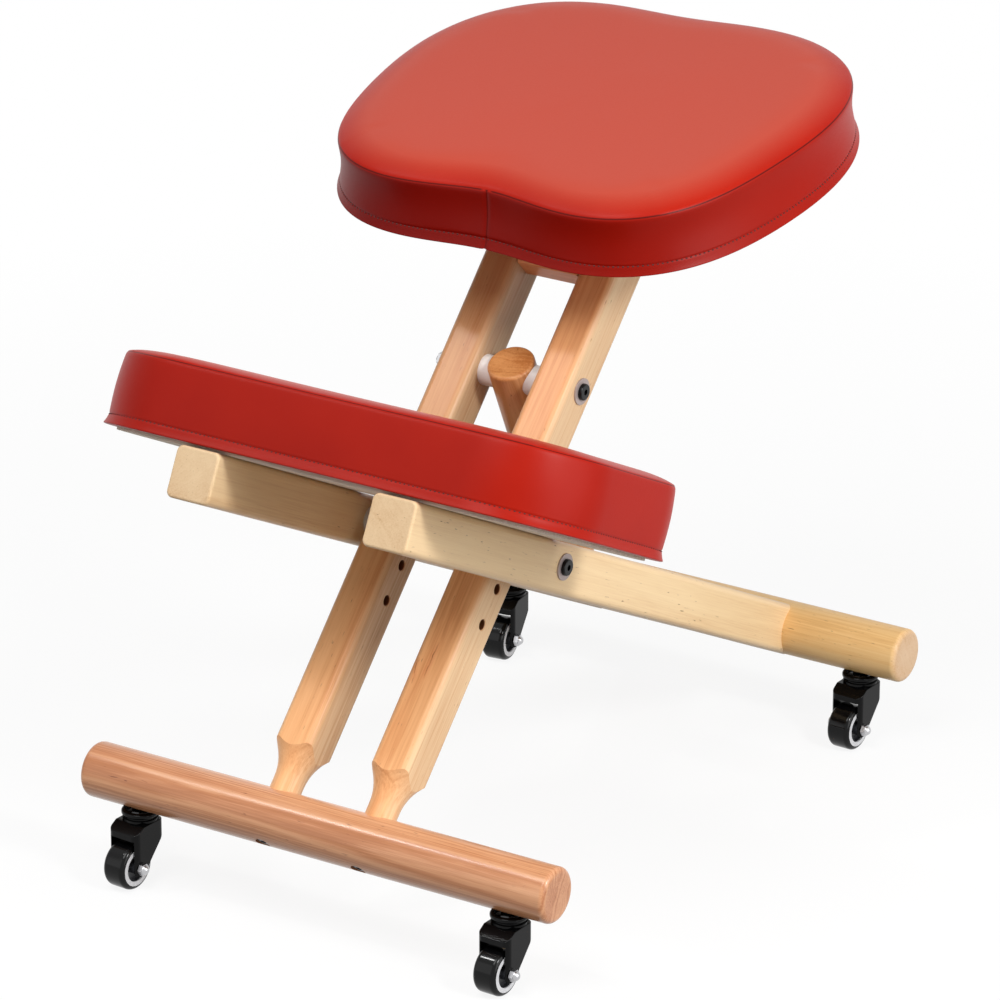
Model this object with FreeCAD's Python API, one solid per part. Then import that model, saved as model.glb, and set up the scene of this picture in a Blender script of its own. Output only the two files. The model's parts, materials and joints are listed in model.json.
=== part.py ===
import FreeCAD, Part
import math
import os

# A wooden kneeling chair on four swivel casters: two seat beams rise to the rear from the front
# bar, two knee beams rise to the front from the rear bar, and a round strut braces the two pairs.
# Frame: X runs across the chair, -Y is the front (knee side), +Y the rear (seat side), Z is up.
# "left" is the -X side. Lengths are millimetres and angles are degrees.

Vector = FreeCAD.Vector
X_AXIS = Vector(1, 0, 0)
Z_AXIS = Vector(0, 0, 1)
SIDES = {"left": -1, "right": 1}

# Bars that lie across the floor
bar_length = 480.0
bar_diameter = 50.0
bar_spacing = 602.0
bar_end_round = 5.0

# Seat beams, which lean to the rear
seat_beam_angle = 44.0
seat_beam_length = 632.0
seat_beam_width = 38.0
seat_beam_depth = 45.0
seat_beam_round = 7.0
neck_diameter = 28.0
neck_sunk = 16.0
neck_straight_end = 34.0
shoulder_end = 70.0

# Knee beams, which slope down to the rear bar
knee_beam_width = 44.0
knee_beam_depth = 46.0
knee_beam_round = 6.0
knee_beam_end_round = 2.5
knee_beam_end_set_back = 0.3
knee_beam_drop = 2.5

# Crossing of the two pairs, with the spare holes of the height adjustment below it
crossing_along_seat_beam = 284.0
spare_hole_pitch = 34.5
spare_hole_count = 2
adjust_hole_diameter = 9.0
adjust_hole_chamfer = 1.0

# Strut between the seat beams, on a cross dowel between the knee beams
strut_diameter = 43.0
strut_bolt_above_crossing = 160.0
strut_angle = 25.0
strut_head = 17.0
strut_head_round = 3.0
dowel_diameter = 44.0
dowel_pivot_diameter = 22.0
dowel_pivot_sunk = 26.0
tenon_diameter = 20.0
tenon_length = 24.0
pivot_gap = 0.3

# Nylon spacers
spacer_thickness = 9.0
spacer_diameter = 28.0

# Through bolts, washers and nuts of the crossing and the strut
bolt_diameter = 8.0
bolt_hole_diameter = 8.4
button_diameter = 15.0
button_height = 3.5
bolt_head_round = 1.2
socket_across_flats = 5.0
socket_depth = 2.2
washer_diameter = 24.0
washer_thickness = 1.5
nut_across_flats = 13.0
nut_height = 8.0
bolt_past_nut = 2.0

# Bolts that hold the beams to the bars, in threaded inserts in the beam ends
bar_bolt_head_diameter = 13.0
bar_bolt_head_height = 8.0
bar_bolt_head_sunk = 1.5
bar_bolt_length = 68.0
insert_diameter = 12.0
insert_length = 25.0
insert_spare_depth = 2.0
counterbore_gap = 0.5

# Cross rail between the tops of the seat beams
top_rail_height = 40.0
top_rail_depth = 25.0
top_rail_below_end = 51.0
top_rail_round = 2.0

# Bearers under the seat board
bearer_thickness = 25.0
bearer_length = 230.0
bearer_round = 4.0
bearer_screw_diameter = 5.0
bearer_screw_length = 45.0
bearer_screw_head_diameter = 10.0
bearer_screw_head_height = 3.0
bearer_screw_spread = 24.0
bearer_screw_offset = -14.0

# Boards inside the cushions
board_thickness = 12.0
board_in_cover = 9.0
board_inset = 13.0

# Bolts and tee nuts of the boards
board_bolt_diameter = 6.0
board_bolt_hole_diameter = 6.6
board_bolt_head_diameter = 10.0
board_bolt_head_height = 6.0
seat_bolt_spread = 150.0
knee_bolt_spread = 170.0
knee_bolt_head_sunk = 8.0
tee_nut_barrel_diameter = 8.0
tee_nut_flange_diameter = 19.0
tee_nut_flange_thickness = 1.5
tee_nut_length = 9.0

# Seat cushion
seat_tilt = 9.5
seat_pad_set_back = 6.0
seat_half_width = 222.0
seat_half_depth = 192.0
seat_front_corner = 155.0
seat_rear_corner = 130.0
seat_notch_depth = 10.0
seat_band = 53.0
seat_crown = 12.0

# Knee cushion
knee_half_width = 243.0
knee_half_depth = 125.0
knee_front_corner = 92.0
knee_rear_corner = 55.0
knee_pad_gap = 0.7
knee_notch_depth = 0.0
knee_band = 65.0
knee_crown = 8.0

# Cushion section, shared by both: how far each level is drawn in from the lower edge
skirt_height = 9.0
skirt_drawn_in = 4.0
waist_drawn_in = 7.0
seam_drawn_in = 5.0
crown_shoulder_drawn_in = 16.0
crown_slope_drawn_in = 44.0
crown_top_drawn_in = 78.0
least_corner_radius = 18.0
cover_thickness = 2.0

# Casters
caster_offset = 192.0
wheel_top_gap = 5.7
caster_yaws = {"front_left": -4.0, "front_right": -2.0, "rear_left": 7.0, "rear_right": -2.0}
stem_diameter = 8.0
stem_in_bar = 24.0
stem_collar_across_flats = 14.0
stem_collar_height = 1.5
cup_diameter = 34.0
cup_height = 9.0
cup_rim_height = 5.0
cup_round = 2.2
cup_waist_diameter = 29.0
cup_foot_diameter = 32.0
cup_foot_height = 2.0
cup_dish_diameter = 26.0
cup_dish_depth = 2.5
race_gap = 0.3
ball_diameter = 4.0
ball_circle_radius = 12.0
ball_count = 10
ball_gap = 0.3
crown_thickness = 3.5
rivet_head_diameter = 14.0
rivet_head_height = 2.5
pin_clearance = 0.05
fork_rear = 13.0
fork_front = 6.5
fork_crest = 15.0
fork_hood_drop = 6.5
fork_corner_round = 6.0
fork_plate_thickness = 3.0
fork_plate_gap = 0.6
fork_knee_height = 46.0
fork_eye_radius = 7.5
fork_skirt_height = 8.0
fork_skirt_thickness = 2.5
fork_edge_round = 0.8
trail = 19.5
wheel_diameter = 42.0
tyre_width = 23.0
tyre_round = 4.5
tyre_thickness = 4.0
hub_rim = 4.0
hub_recess = 5.0
hub_boss_diameter = 12.0
hub_boss_proud = 1.0
axle_diameter = 6.0
axle_head_diameter = 10.0
axle_head_height = 3.5
axle_nut_across_flats = 10.0
axle_nut_height = 4.0
axle_nut_dome_radius = 4.6
axle_past_nut = 1.0

# Sizes worked out from the values above
hub_diameter = wheel_diameter - 2 * tyre_thickness
hub_width = tyre_width + 2 * hub_boss_proud
fork_crown_bottom = wheel_diameter + wheel_top_gap + fork_skirt_height
fork_top = fork_crown_bottom + crown_thickness
cup_bottom = fork_top + race_gap
cup_top = cup_bottom + cup_height
caster_height = cup_top + stem_collar_height
bar_radius = bar_diameter / 2
bar_height = caster_height + bar_radius
beam_gap = strut_diameter + 2 * spacer_thickness
seat_beam_x = beam_gap / 2 + seat_beam_width / 2
knee_inner_x = beam_gap / 2 + seat_beam_width + spacer_thickness
knee_beam_x = knee_inner_x + knee_beam_width / 2
knee_outer_x = knee_inner_x + knee_beam_width
seat_outer_x = beam_gap / 2 + seat_beam_width


def along(origin, angle, distance):
    """Point at a distance from origin along a line that leans to the rear by angle from vertical."""
    lean = math.radians(angle)
    return Vector(0, origin.y + distance * math.sin(lean), origin.z + distance * math.cos(lean))


front_bar_centre = Vector(0, 0, bar_height)
rear_bar_centre = Vector(0, bar_spacing, bar_height)
crossing = along(front_bar_centre, seat_beam_angle, crossing_along_seat_beam)
knee_beam_angle = -math.degrees(math.atan2(rear_bar_centre.y - crossing.y, crossing.z - rear_bar_centre.z))
knee_slope = 90.0 + knee_beam_angle
strut_bolt_point = along(crossing, seat_beam_angle, strut_bolt_above_crossing)


def strut_foot():
    """Point where the strut's axis meets the centre line of the knee beams."""
    knee_normal = Vector(0, math.sin(math.radians(knee_slope)), math.cos(math.radians(knee_slope)))
    down = along(Vector(0, 0, 0), -strut_angle, -1.0)
    distance = (rear_bar_centre - strut_bolt_point).dot(knee_normal) / down.dot(knee_normal)
    return strut_bolt_point + down * distance


dowel_centre = strut_foot()
strut_length = (strut_bolt_point - dowel_centre).Length


def tilted(origin, lean, x=0.0):
    """Placement at origin whose Z leans to the rear by lean degrees, and whose X stays across."""
    base = Vector(x, origin.y, origin.z)
    return FreeCAD.Placement(base, FreeCAD.Rotation(X_AXIS, -lean))


def placed(shape, placement):
    """Copy of a shape moved by a placement."""
    return shape.transformed(placement.toMatrix(), True)


def cylinder_z(radius, low, high):
    """Cylinder about the local Z axis between two heights."""
    return Part.makeCylinder(radius, high - low, Vector(0, 0, low), Z_AXIS)


def cylinder_x(radius, start, end, centre):
    """Cylinder along X between two X values, about a point of the side view."""
    return Part.makeCylinder(radius, end - start, Vector(start, centre.y, centre.z), X_AXIS)


def hexagon_x(across_flats, start, end, centre):
    """Hexagonal prism along X between two X values."""
    corner = across_flats / math.sqrt(3)
    points = []
    for step in range(7):
        turn = math.radians(60 * step)
        points.append(Vector(start, centre.y + corner * math.cos(turn), centre.z + corner * math.sin(turn)))
    return Part.Face(Part.makePolygon(points)).extrude(Vector(end - start, 0, 0))


def hexagon_z(across_flats, low, high):
    """Hexagonal prism about the local Z axis."""
    corner = across_flats / math.sqrt(3)
    points = []
    for step in range(7):
        turn = math.radians(60 * step)
        points.append(Vector(corner * math.cos(turn), corner * math.sin(turn), low))
    return Part.Face(Part.makePolygon(points)).extrude(Vector(0, 0, high - low))


def box(low, high):
    """Box between two corners, given as (x, y, z)."""
    size = [top - bottom for bottom, top in zip(low, high)]
    return Part.makeBox(size[0], size[1], size[2], Vector(*low))


def rounded(shape, radius, wanted):
    """Shape with the edges rounded for which wanted(edge) is true."""
    return shape.makeFillet(radius, [edge for edge in shape.Edges if wanted(edge)])


def runs_along_z(edge):
    """True for a straight edge parallel to the local Z axis."""
    return abs(edge.tangentAt(edge.FirstParameter).z) > 0.999 and edge.Length > 1.0


def rounded_bar(width, depth, low, high, radius):
    """Straight bar along the local Z axis with its four long edges rounded."""
    bar = box((-width / 2, -depth / 2, low), (width / 2, depth / 2, high))
    return rounded(bar, radius, runs_along_z)


def both_sides(make):
    """Compound of the solids that make(side) gives for the left and the right."""
    return Part.makeCompound([make(side) for side in SIDES.values()])


def turned(edges):
    """Solid of revolution about the local Z axis from edges in the XZ plane, closed along the axis."""
    return Part.Face(Part.Wire(edges)).revolve(Vector(0, 0, 0), Z_AXIS, 360)


def cushion_levels(band, crown):
    """Height of each level of a cushion and how far its outline is drawn in from the lower edge."""
    return [
        (0.0, 0.0),
        (skirt_height, skirt_drawn_in),
        (0.5 * band, waist_drawn_in),
        (band, seam_drawn_in),
        (band + 0.5 * crown, crown_shoulder_drawn_in),
        (band + 0.85 * crown, crown_slope_drawn_in),
        (band + crown, crown_top_drawn_in),
    ]


def foam_levels(band, crown):
    """Levels of the foam, one cover thickness inside the cushion and resting on the board."""
    levels = [(board_in_cover, skirt_drawn_in + cover_thickness)]
    levels.append((0.5 * band, waist_drawn_in + cover_thickness))
    levels.append((band - cover_thickness, seam_drawn_in + cover_thickness))
    for height, drawn_in in cushion_levels(band, crown)[4:]:
        levels.append((height - cover_thickness, drawn_in + cover_thickness))
    return levels


def arc(centre, radius, start, end, height):
    """Arc about a centre (x, y) between two directions in degrees, at a height."""
    points = []
    for turn in (start, (start + end) / 2, end):
        angle = math.radians(turn)
        points.append(Vector(centre[0] + radius * math.cos(angle), centre[1] + radius * math.sin(angle), height))
    return Part.Arc(*points).toShape()


def cushion_outline(pad, drawn_in, height):
    """Closed outline of a cushion: four round corners, and a shallow dip in the front if it has one."""
    half_width, half_depth, front_corner, rear_corner, notch = pad
    front_radius = max(front_corner - drawn_in, least_corner_radius)
    rear_radius = max(rear_corner - drawn_in, least_corner_radius)
    front_x = half_width - drawn_in - front_radius
    front_y = drawn_in + front_radius - half_depth
    rear_x = half_width - drawn_in - rear_radius
    rear_y = half_depth - drawn_in - rear_radius
    corners = [
        arc((front_x, front_y), front_radius, 270, 360, height),
        arc((rear_x, rear_y), rear_radius, 0, 90, height),
        arc((-rear_x, rear_y), rear_radius, 90, 180, height),
        arc((-front_x, front_y), front_radius, 180, 270, height),
    ]
    edges = []
    for corner, following in zip(corners, corners[1:]):
        edges.append(corner)
        edges.append(Part.makeLine(corner.lastVertex().Point, following.firstVertex().Point))
    edges.append(corners[-1])
    if notch > 0:
        edges += notch_edges(front_x, half_depth, notch, drawn_in, height)
    else:
        edges.append(Part.makeLine(corners[-1].lastVertex().Point, corners[0].firstVertex().Point))
    return Part.Wire(Part.__sortEdges__(edges))


def notch_edges(reach, half_depth, notch, drawn_in, height):
    """Three arcs that dip the front edge by notch between x = -reach and x = reach."""
    bend = (reach ** 2 + notch ** 2) / (4 * notch)
    shoulder_y = bend - half_depth
    dip_y = notch - bend - half_depth
    lean = math.degrees(math.atan2(reach, shoulder_y - dip_y))
    return [
        arc((-reach, shoulder_y), bend - drawn_in, 270, 270 + lean, height),
        arc((0, dip_y), bend + drawn_in, 90 + lean, 90 - lean, height),
        arc((reach, shoulder_y), bend - drawn_in, 270 - lean, 270, height),
    ]


def cushion_solid(pad, levels):
    """Loft through the outlines of a cushion, from its lower edge to the top of its crown."""
    wires = [cushion_outline(pad, drawn_in, height) for height, drawn_in in levels]
    return Part.makeLoft(wires, True, True)


def board_solid(pad):
    """Plywood board whose upper part lies inside the cover."""
    low = board_in_cover - board_thickness
    face = Part.Face(cushion_outline(pad, board_inset, low))
    return face.extrude(Vector(0, 0, board_thickness))


seat_pad = (seat_half_width, seat_half_depth, seat_front_corner, seat_rear_corner, seat_notch_depth)
knee_pad = (knee_half_width, knee_half_depth, knee_front_corner, knee_rear_corner, knee_notch_depth)
board_below_cover = board_thickness - board_in_cover
knee_beam_top = knee_beam_depth / 2 - knee_beam_drop

seat_beam_end = along(front_bar_centre, seat_beam_angle, seat_beam_length)
seat_place = tilted(along(seat_beam_end, -seat_tilt, bearer_thickness + board_below_cover), -seat_tilt)
seat_pad_place = seat_place.multiply(FreeCAD.Placement(Vector(0, seat_pad_set_back, 0), FreeCAD.Rotation()))


def knee_pad_centre():
    """Distance from the rear bar to the knee cushion's centre, which stays clear of the seat beams."""
    lean = math.radians(seat_beam_angle - knee_slope)
    lower_edge = knee_beam_top + board_below_cover
    seat_beam_face = seat_beam_depth / 2 / math.cos(lean) - lower_edge * math.tan(lean)
    return (crossing - rear_bar_centre).Length + seat_beam_face + knee_pad_gap + knee_half_depth


knee_pad_point = along(rear_bar_centre, knee_beam_angle, knee_pad_centre())
knee_place = tilted(along(knee_pad_point, knee_slope, knee_beam_top + board_below_cover), knee_slope)
knee_beam_length = knee_pad_centre() + knee_half_depth - knee_beam_end_set_back


def seat_bolt_places():
    """Placements of the seat board's bolts, with Z along the bolt and its zero at the cover's edge."""
    return board_bolt_places(seat_place, seat_beam_x, seat_bolt_spread)


def knee_bolt_places():
    """Placements of the knee board's bolts."""
    return board_bolt_places(knee_place, knee_beam_x, knee_bolt_spread)


def board_bolt_places(place, half_width, spread):
    """Four placements on a rectangle in the plane of a board."""
    places = []
    for x in (-half_width, half_width):
        for y in (-spread / 2, spread / 2):
            places.append(place.multiply(FreeCAD.Placement(Vector(x, y, 0), FreeCAD.Rotation())))
    return places


def bar_bolt_places(centre, lean, half_width):
    """Placements of the two beams on a bar, with Z along the beam and its zero on the bar's axis."""
    return [tilted(centre, lean, side * half_width) for side in SIDES.values()]


front_beam_places = bar_bolt_places(front_bar_centre, seat_beam_angle, seat_beam_x)
rear_beam_places = bar_bolt_places(rear_bar_centre, knee_beam_angle, knee_beam_x)
bar_head_top = bar_bolt_head_sunk - bar_radius
bar_head_base = bar_head_top + bar_bolt_head_height
insert_end = bar_head_base + bar_bolt_length
neck_end = bar_radius - neck_sunk
caster_points = {
    "front_left": Vector(-caster_offset, 0, 0),
    "front_right": Vector(caster_offset, 0, 0),
    "rear_left": Vector(-caster_offset, bar_spacing, 0),
    "rear_right": Vector(caster_offset, bar_spacing, 0),
}


def bar_blank(centre):
    """Round bar with rounded ends, drilled for the two caster inserts."""
    blank = cylinder_x(bar_radius, -bar_length / 2, bar_length / 2, centre)
    bar = rounded(blank, bar_end_round, lambda edge: abs(edge.CenterOfMass.x) > bar_length / 2 - 0.01)
    for x in (-caster_offset, caster_offset):
        hole_top = caster_height + insert_length + 2 * insert_spare_depth
        bar = bar.cut(Part.makeCylinder(insert_diameter / 2, hole_top, Vector(x, centre.y, 0), Z_AXIS))
    return bar


def bar_bolt_hole(sunk_to):
    """Counterbored hole of a bar bolt, in the frame of its beam, up to the beam's end."""
    counterbore = cylinder_z(bar_bolt_head_diameter / 2 + counterbore_gap, -bar_diameter, bar_head_base)
    return counterbore.fuse(cylinder_z(bolt_hole_diameter / 2, -bar_radius, sunk_to))


def make_front_bar():
    """Front bar with a socket for each seat beam's neck."""
    bar = bar_blank(front_bar_centre)
    for place in front_beam_places:
        socket = cylinder_z(neck_diameter / 2, neck_end, bar_diameter)
        bar = bar.cut(placed(bar_bolt_hole(neck_end + 1).fuse(socket), place))
    return bar


def make_rear_bar():
    """Rear bar, whose knee beams are coped onto it."""
    bar = bar_blank(rear_bar_centre)
    for place in rear_beam_places:
        bar = bar.cut(placed(bar_bolt_hole(bar_radius + 1), place))
    return bar


def beam_end_hole(start):
    """Hole in a beam's end for the bolt and its insert."""
    bolt_way = cylinder_z(bolt_hole_diameter / 2, start, insert_end)
    insert_way = cylinder_z(insert_diameter / 2, start, insert_end + insert_spare_depth)
    return bolt_way.fuse(insert_way)


def shoulder_envelope(high):
    """Round neck that widens in a cove until it clears the whole beam section."""
    neck = neck_diameter / 2
    wide = math.hypot(seat_beam_width / 2, seat_beam_depth / 2) + 1
    rise = shoulder_end - neck_straight_end
    bend = ((wide - neck) ** 2 + rise ** 2) / (2 * (wide - neck))
    sweep = math.asin(rise / bend)
    middle = Vector(neck + bend * (1 - math.cos(sweep / 2)), 0, neck_straight_end + bend * math.sin(sweep / 2))
    start = Vector(neck, 0, neck_straight_end)
    end = Vector(wide, 0, shoulder_end)
    foot = Vector(0, 0, neck_end)
    heel = Vector(neck, 0, neck_end)
    top = Vector(wide, 0, high)
    tip = Vector(0, 0, high)
    edges = [
        Part.makeLine(foot, heel),
        Part.makeLine(heel, start),
        Part.Arc(start, middle, end).toShape(),
        Part.makeLine(end, top),
        Part.makeLine(top, tip),
        Part.makeLine(tip, foot),
    ]
    return turned(edges)


def adjust_hole(half_width):
    """Chamfered hole through a seat beam, along X about the origin."""
    radius = adjust_hole_diameter / 2
    wide = radius + adjust_hole_chamfer
    hole = cylinder_x(radius, -half_width - 1, half_width + 1, Vector(0, 0, 0))
    for side in SIDES.values():
        base = Vector(side * half_width, 0, 0)
        cone = Part.makeCone(wide, radius, adjust_hole_chamfer, base, Vector(-side, 0, 0))
        hole = hole.fuse(cone)
    return hole


def make_seat_beam(side):
    """Seat beam with its turned neck, adjustment holes and an end cut to the seat's tilt."""
    long_end = seat_beam_length + seat_beam_depth * 2
    blank = rounded_bar(seat_beam_width, seat_beam_depth, neck_end, long_end, seat_beam_round)
    beam = blank.common(shoulder_envelope(long_end))
    hole_tool = adjust_hole(seat_beam_width / 2)
    distances = [crossing_along_seat_beam - step * spare_hole_pitch for step in range(spare_hole_count + 1)]
    distances.append(crossing_along_seat_beam + strut_bolt_above_crossing)
    for distance in distances:
        beam = beam.cut(placed(hole_tool, FreeCAD.Placement(Vector(0, 0, distance), FreeCAD.Rotation())))
    beam = beam.cut(beam_end_hole(neck_end - 1))
    beam = placed(beam, tilted(front_bar_centre, seat_beam_angle, side * seat_beam_x))
    reach = seat_beam_depth * 4
    above = box((-bar_length, -reach, -board_below_cover - bearer_thickness), (bar_length, reach, reach))
    beam = beam.cut(placed(above, seat_place))
    for place in bearer_screw_places(side):
        beam = beam.cut(placed(bearer_screw(), place))
    return beam


def bearer_screw_places(side):
    """Placements of the two screws through a bearer, with Z along the seat's normal."""
    places = []
    for offset in (-bearer_screw_spread / 2, bearer_screw_spread / 2):
        point = Vector(side * seat_beam_x, bearer_screw_offset + offset, -board_below_cover)
        places.append(seat_place.multiply(FreeCAD.Placement(point, FreeCAD.Rotation())))
    return places


def bearer_screw():
    """Screw with its head level with the bearer's top."""
    shank = cylinder_z(bearer_screw_diameter / 2, -bearer_screw_length, -bearer_screw_head_height)
    return shank.fuse(cylinder_z(bearer_screw_head_diameter / 2, -bearer_screw_head_height, 0))


def make_bearer(side):
    """Bearer under the seat board, on the end of a seat beam."""
    top = -board_below_cover
    size = ((-seat_beam_width / 2, -bearer_length / 2, top - bearer_thickness),
            (seat_beam_width / 2, bearer_length / 2, top))
    bearer = rounded(box(*size), bearer_round,
                     lambda edge: edge.CenterOfMass.z < top - bearer_thickness + 0.01)
    bearer.translate(Vector(side * seat_beam_x, 0, 0))
    bearer = placed(bearer, seat_place)
    for place in seat_bolt_places():
        hole = cylinder_z(board_bolt_hole_diameter / 2, -bearer_thickness * 2, 0)
        bearer = bearer.cut(placed(hole, place))
    for place in bearer_screw_places(side):
        bearer = bearer.cut(placed(bearer_screw(), place))
    return bearer


def make_bearer_screws():
    """Four screws through the bearers into the ends of the seat beams."""
    places = bearer_screw_places(SIDES["left"]) + bearer_screw_places(SIDES["right"])
    return Part.makeCompound([placed(bearer_screw(), place) for place in places])


def make_knee_beam(side):
    """Knee beam, coped onto the rear bar, drilled for the crossing bolt, the dowel and the board."""
    blank = rounded_bar(knee_beam_width, knee_beam_depth, 0, knee_beam_length, knee_beam_round)
    beam = rounded(blank, knee_beam_end_round, lambda edge: edge.CenterOfMass.z > knee_beam_length - 0.01)
    beam.translate(Vector(0, -knee_beam_drop, 0))
    beam = beam.cut(beam_end_hole(0))
    beam = placed(beam, tilted(rear_bar_centre, knee_beam_angle, side * knee_beam_x))
    beam = beam.cut(cylinder_x(bar_radius, -bar_length / 2, bar_length / 2, rear_bar_centre))
    beam = beam.cut(cylinder_x(bolt_hole_diameter / 2, -bar_length / 2, bar_length / 2, crossing))
    pivot_end = knee_inner_x + dowel_pivot_sunk + pivot_gap
    beam = beam.cut(cylinder_x(dowel_pivot_diameter / 2 + pin_clearance, -pivot_end, pivot_end, dowel_centre))
    underside = -board_below_cover - knee_beam_depth
    for place in knee_bolt_places():
        head_way = cylinder_z(board_bolt_head_diameter / 2 + counterbore_gap, underside - 1,
                              underside + knee_bolt_head_sunk)
        bolt_way = cylinder_z(board_bolt_hole_diameter / 2, underside, 0)
        beam = beam.cut(placed(head_way.fuse(bolt_way), place))
    return beam


def strut_round():
    """Round stock of the strut, from the dowel's axis to its head, in the strut's own frame."""
    return cylinder_z(strut_diameter / 2, -strut_length, strut_head)


strut_place = tilted(strut_bolt_point, -strut_angle)
tenon_low = dowel_diameter / 2 - tenon_length - strut_length


def make_strut():
    """Strut with a rounded head, coped onto the cross dowel and tenoned into it."""
    stock = rounded(strut_round(), strut_head_round, lambda edge: edge.CenterOfMass.z > strut_head - 0.01)
    strut = placed(stock, strut_place)
    strut = strut.cut(cylinder_x(dowel_diameter / 2, -knee_inner_x, knee_inner_x, dowel_centre))
    tenon = cylinder_z(tenon_diameter / 2, tenon_low, dowel_diameter - strut_length)
    strut = strut.fuse(placed(tenon, strut_place)).removeSplitter()
    return strut.cut(cylinder_x(bolt_hole_diameter / 2, -strut_diameter, strut_diameter, strut_bolt_point))


def make_dowel():
    """Cross dowel with a pivot at each end in the knee beams and a socket for the strut's tenon."""
    body_end = knee_inner_x - pivot_gap
    pivot_end = knee_inner_x + dowel_pivot_sunk
    dowel = cylinder_x(dowel_diameter / 2, -body_end, body_end, dowel_centre)
    dowel = dowel.fuse(cylinder_x(dowel_pivot_diameter / 2, -pivot_end, pivot_end, dowel_centre))
    socket = cylinder_z(tenon_diameter / 2, tenon_low, dowel_diameter - strut_length)
    return dowel.removeSplitter().cut(placed(socket, strut_place))


def make_strut_spacers():
    """Nylon spacers that fill the room between the strut's round sides and the seat beams."""
    rod = cylinder_x(spacer_diameter / 2, -beam_gap / 2, beam_gap / 2, strut_bolt_point)
    rod = rod.cut(cylinder_x(bolt_hole_diameter / 2, -beam_gap, beam_gap, strut_bolt_point))
    return rod.cut(placed(strut_round(), strut_place))


def make_crossing_spacer(side):
    """Nylon spacer between a seat beam and a knee beam."""
    start, end = sorted((side * seat_outer_x, side * knee_inner_x))
    ring = cylinder_x(spacer_diameter / 2, start, end, crossing)
    return ring.cut(cylinder_x(bolt_hole_diameter / 2, start, end, crossing))


def washer(side, base, centre):
    """Washer on a beam's outer face at x = side * base."""
    start, end = sorted((side * base, side * (base + washer_thickness)))
    ring = cylinder_x(washer_diameter / 2, start, end, centre)
    return ring.cut(cylinder_x(bolt_diameter / 2, start, end, centre))


def make_washers():
    """Washers under the heads of the crossing bolts and at both ends of the strut bolt."""
    rings = []
    for side in SIDES.values():
        rings.append(washer(side, knee_outer_x, crossing))
        rings.append(washer(side, seat_outer_x, strut_bolt_point))
    return Part.makeCompound(rings)


def nut(start, end, centre):
    """Hexagonal nut along X between two X values."""
    low, high = sorted((start, end))
    body = hexagon_x(nut_across_flats, low, high, centre)
    return body.cut(cylinder_x(bolt_diameter / 2, low, high, centre))


def make_nuts():
    """Nuts of the crossing bolts, between the seat beams, and of the strut bolt, on the left."""
    nuts = []
    for side in SIDES.values():
        inner = side * beam_gap / 2
        nuts.append(nut(inner, inner - side * nut_height, crossing))
    outer = -(seat_outer_x + washer_thickness)
    nuts.append(nut(outer, outer - nut_height, strut_bolt_point))
    return Part.makeCompound(nuts)


def socket_bolt_z(diameter, height, base, tip):
    """Socket bolt along the local Z axis: the head stands under base, the shank ends at tip."""
    top = base - height
    head = cylinder_z(diameter / 2, top, base)
    head = rounded(head, bolt_head_round, lambda edge: edge.CenterOfMass.z < top + 0.01)
    head = head.cut(hexagon_z(socket_across_flats, top, top + socket_depth))
    return head.fuse(cylinder_z(bolt_diameter / 2, base, tip))


def across(side, x, centre):
    """Placement at x whose Z points inwards from the given side."""
    return FreeCAD.Placement(Vector(x, centre.y, centre.z), FreeCAD.Rotation(Z_AXIS, Vector(-side, 0, 0)))


def button_bolt(tip):
    """Low-headed bolt of the crossing or the strut, with its head's base at zero."""
    return socket_bolt_z(button_diameter, button_height, 0, tip)


def make_crossing_bolt(side):
    """Bolt through a knee beam, a spacer and a seat beam."""
    base = knee_outer_x + washer_thickness
    tip = base - beam_gap / 2 + nut_height + bolt_past_nut
    return placed(button_bolt(tip), across(side, side * base, crossing))


def make_strut_bolt():
    """Bolt through both seat beams, the spacers and the strut, with its head on the right."""
    base = seat_outer_x + washer_thickness
    tip = 2 * base + nut_height + bolt_past_nut
    return placed(button_bolt(tip), across(1, base, strut_bolt_point))


def make_bar_bolts():
    """Four bolts through the bars into the inserts of the beam ends."""
    bolt = socket_bolt_z(bar_bolt_head_diameter, bar_bolt_head_height, bar_head_base, insert_end)
    return Part.makeCompound([placed(bolt, place) for place in front_beam_places + rear_beam_places])


def insert(low):
    """Threaded insert along the local Z axis, with the thread drawn as a plain bore."""
    body = cylinder_z(insert_diameter / 2, low, low + insert_length)
    return body.cut(cylinder_z(bolt_diameter / 2, low, low + insert_length))


def make_inserts():
    """Inserts in the ends of the four beams and in the bars above the four casters."""
    inserts = [placed(insert(insert_end - insert_length), place) for place in front_beam_places + rear_beam_places]
    for point in caster_points.values():
        ring = insert(caster_height + insert_spare_depth)
        ring.translate(point)
        inserts.append(ring)
    return Part.makeCompound(inserts)


def make_top_rail():
    """Cross rail between the seat beams, flush with their front faces."""
    front = -seat_beam_depth / 2
    top = seat_beam_length - top_rail_below_end
    rail = box((-beam_gap / 2, front, top - top_rail_height), (beam_gap / 2, front + top_rail_depth, top))
    rail = rounded(rail, top_rail_round, lambda edge: abs(edge.tangentAt(edge.FirstParameter).x) > 0.999)
    return placed(rail, tilted(front_bar_centre, seat_beam_angle))


def tee_nut_blank(diameter_gap):
    """Outer form of a tee nut, its flange level with the board's top."""
    flange_low = board_in_cover - tee_nut_flange_thickness
    barrel = cylinder_z(tee_nut_barrel_diameter / 2 + diameter_gap, board_in_cover - tee_nut_length, flange_low)
    return barrel.fuse(cylinder_z(tee_nut_flange_diameter / 2 + diameter_gap, flange_low, board_in_cover))


def make_board(pad, place, bolt_places):
    """Board with a hole for each bolt and its tee nut."""
    board = placed(board_solid(pad), place)
    for bolt_place in bolt_places:
        hole = cylinder_z(board_bolt_hole_diameter / 2, -board_thickness, board_in_cover)
        board = board.cut(placed(tee_nut_blank(0).fuse(hole), bolt_place))
    return board


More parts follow.
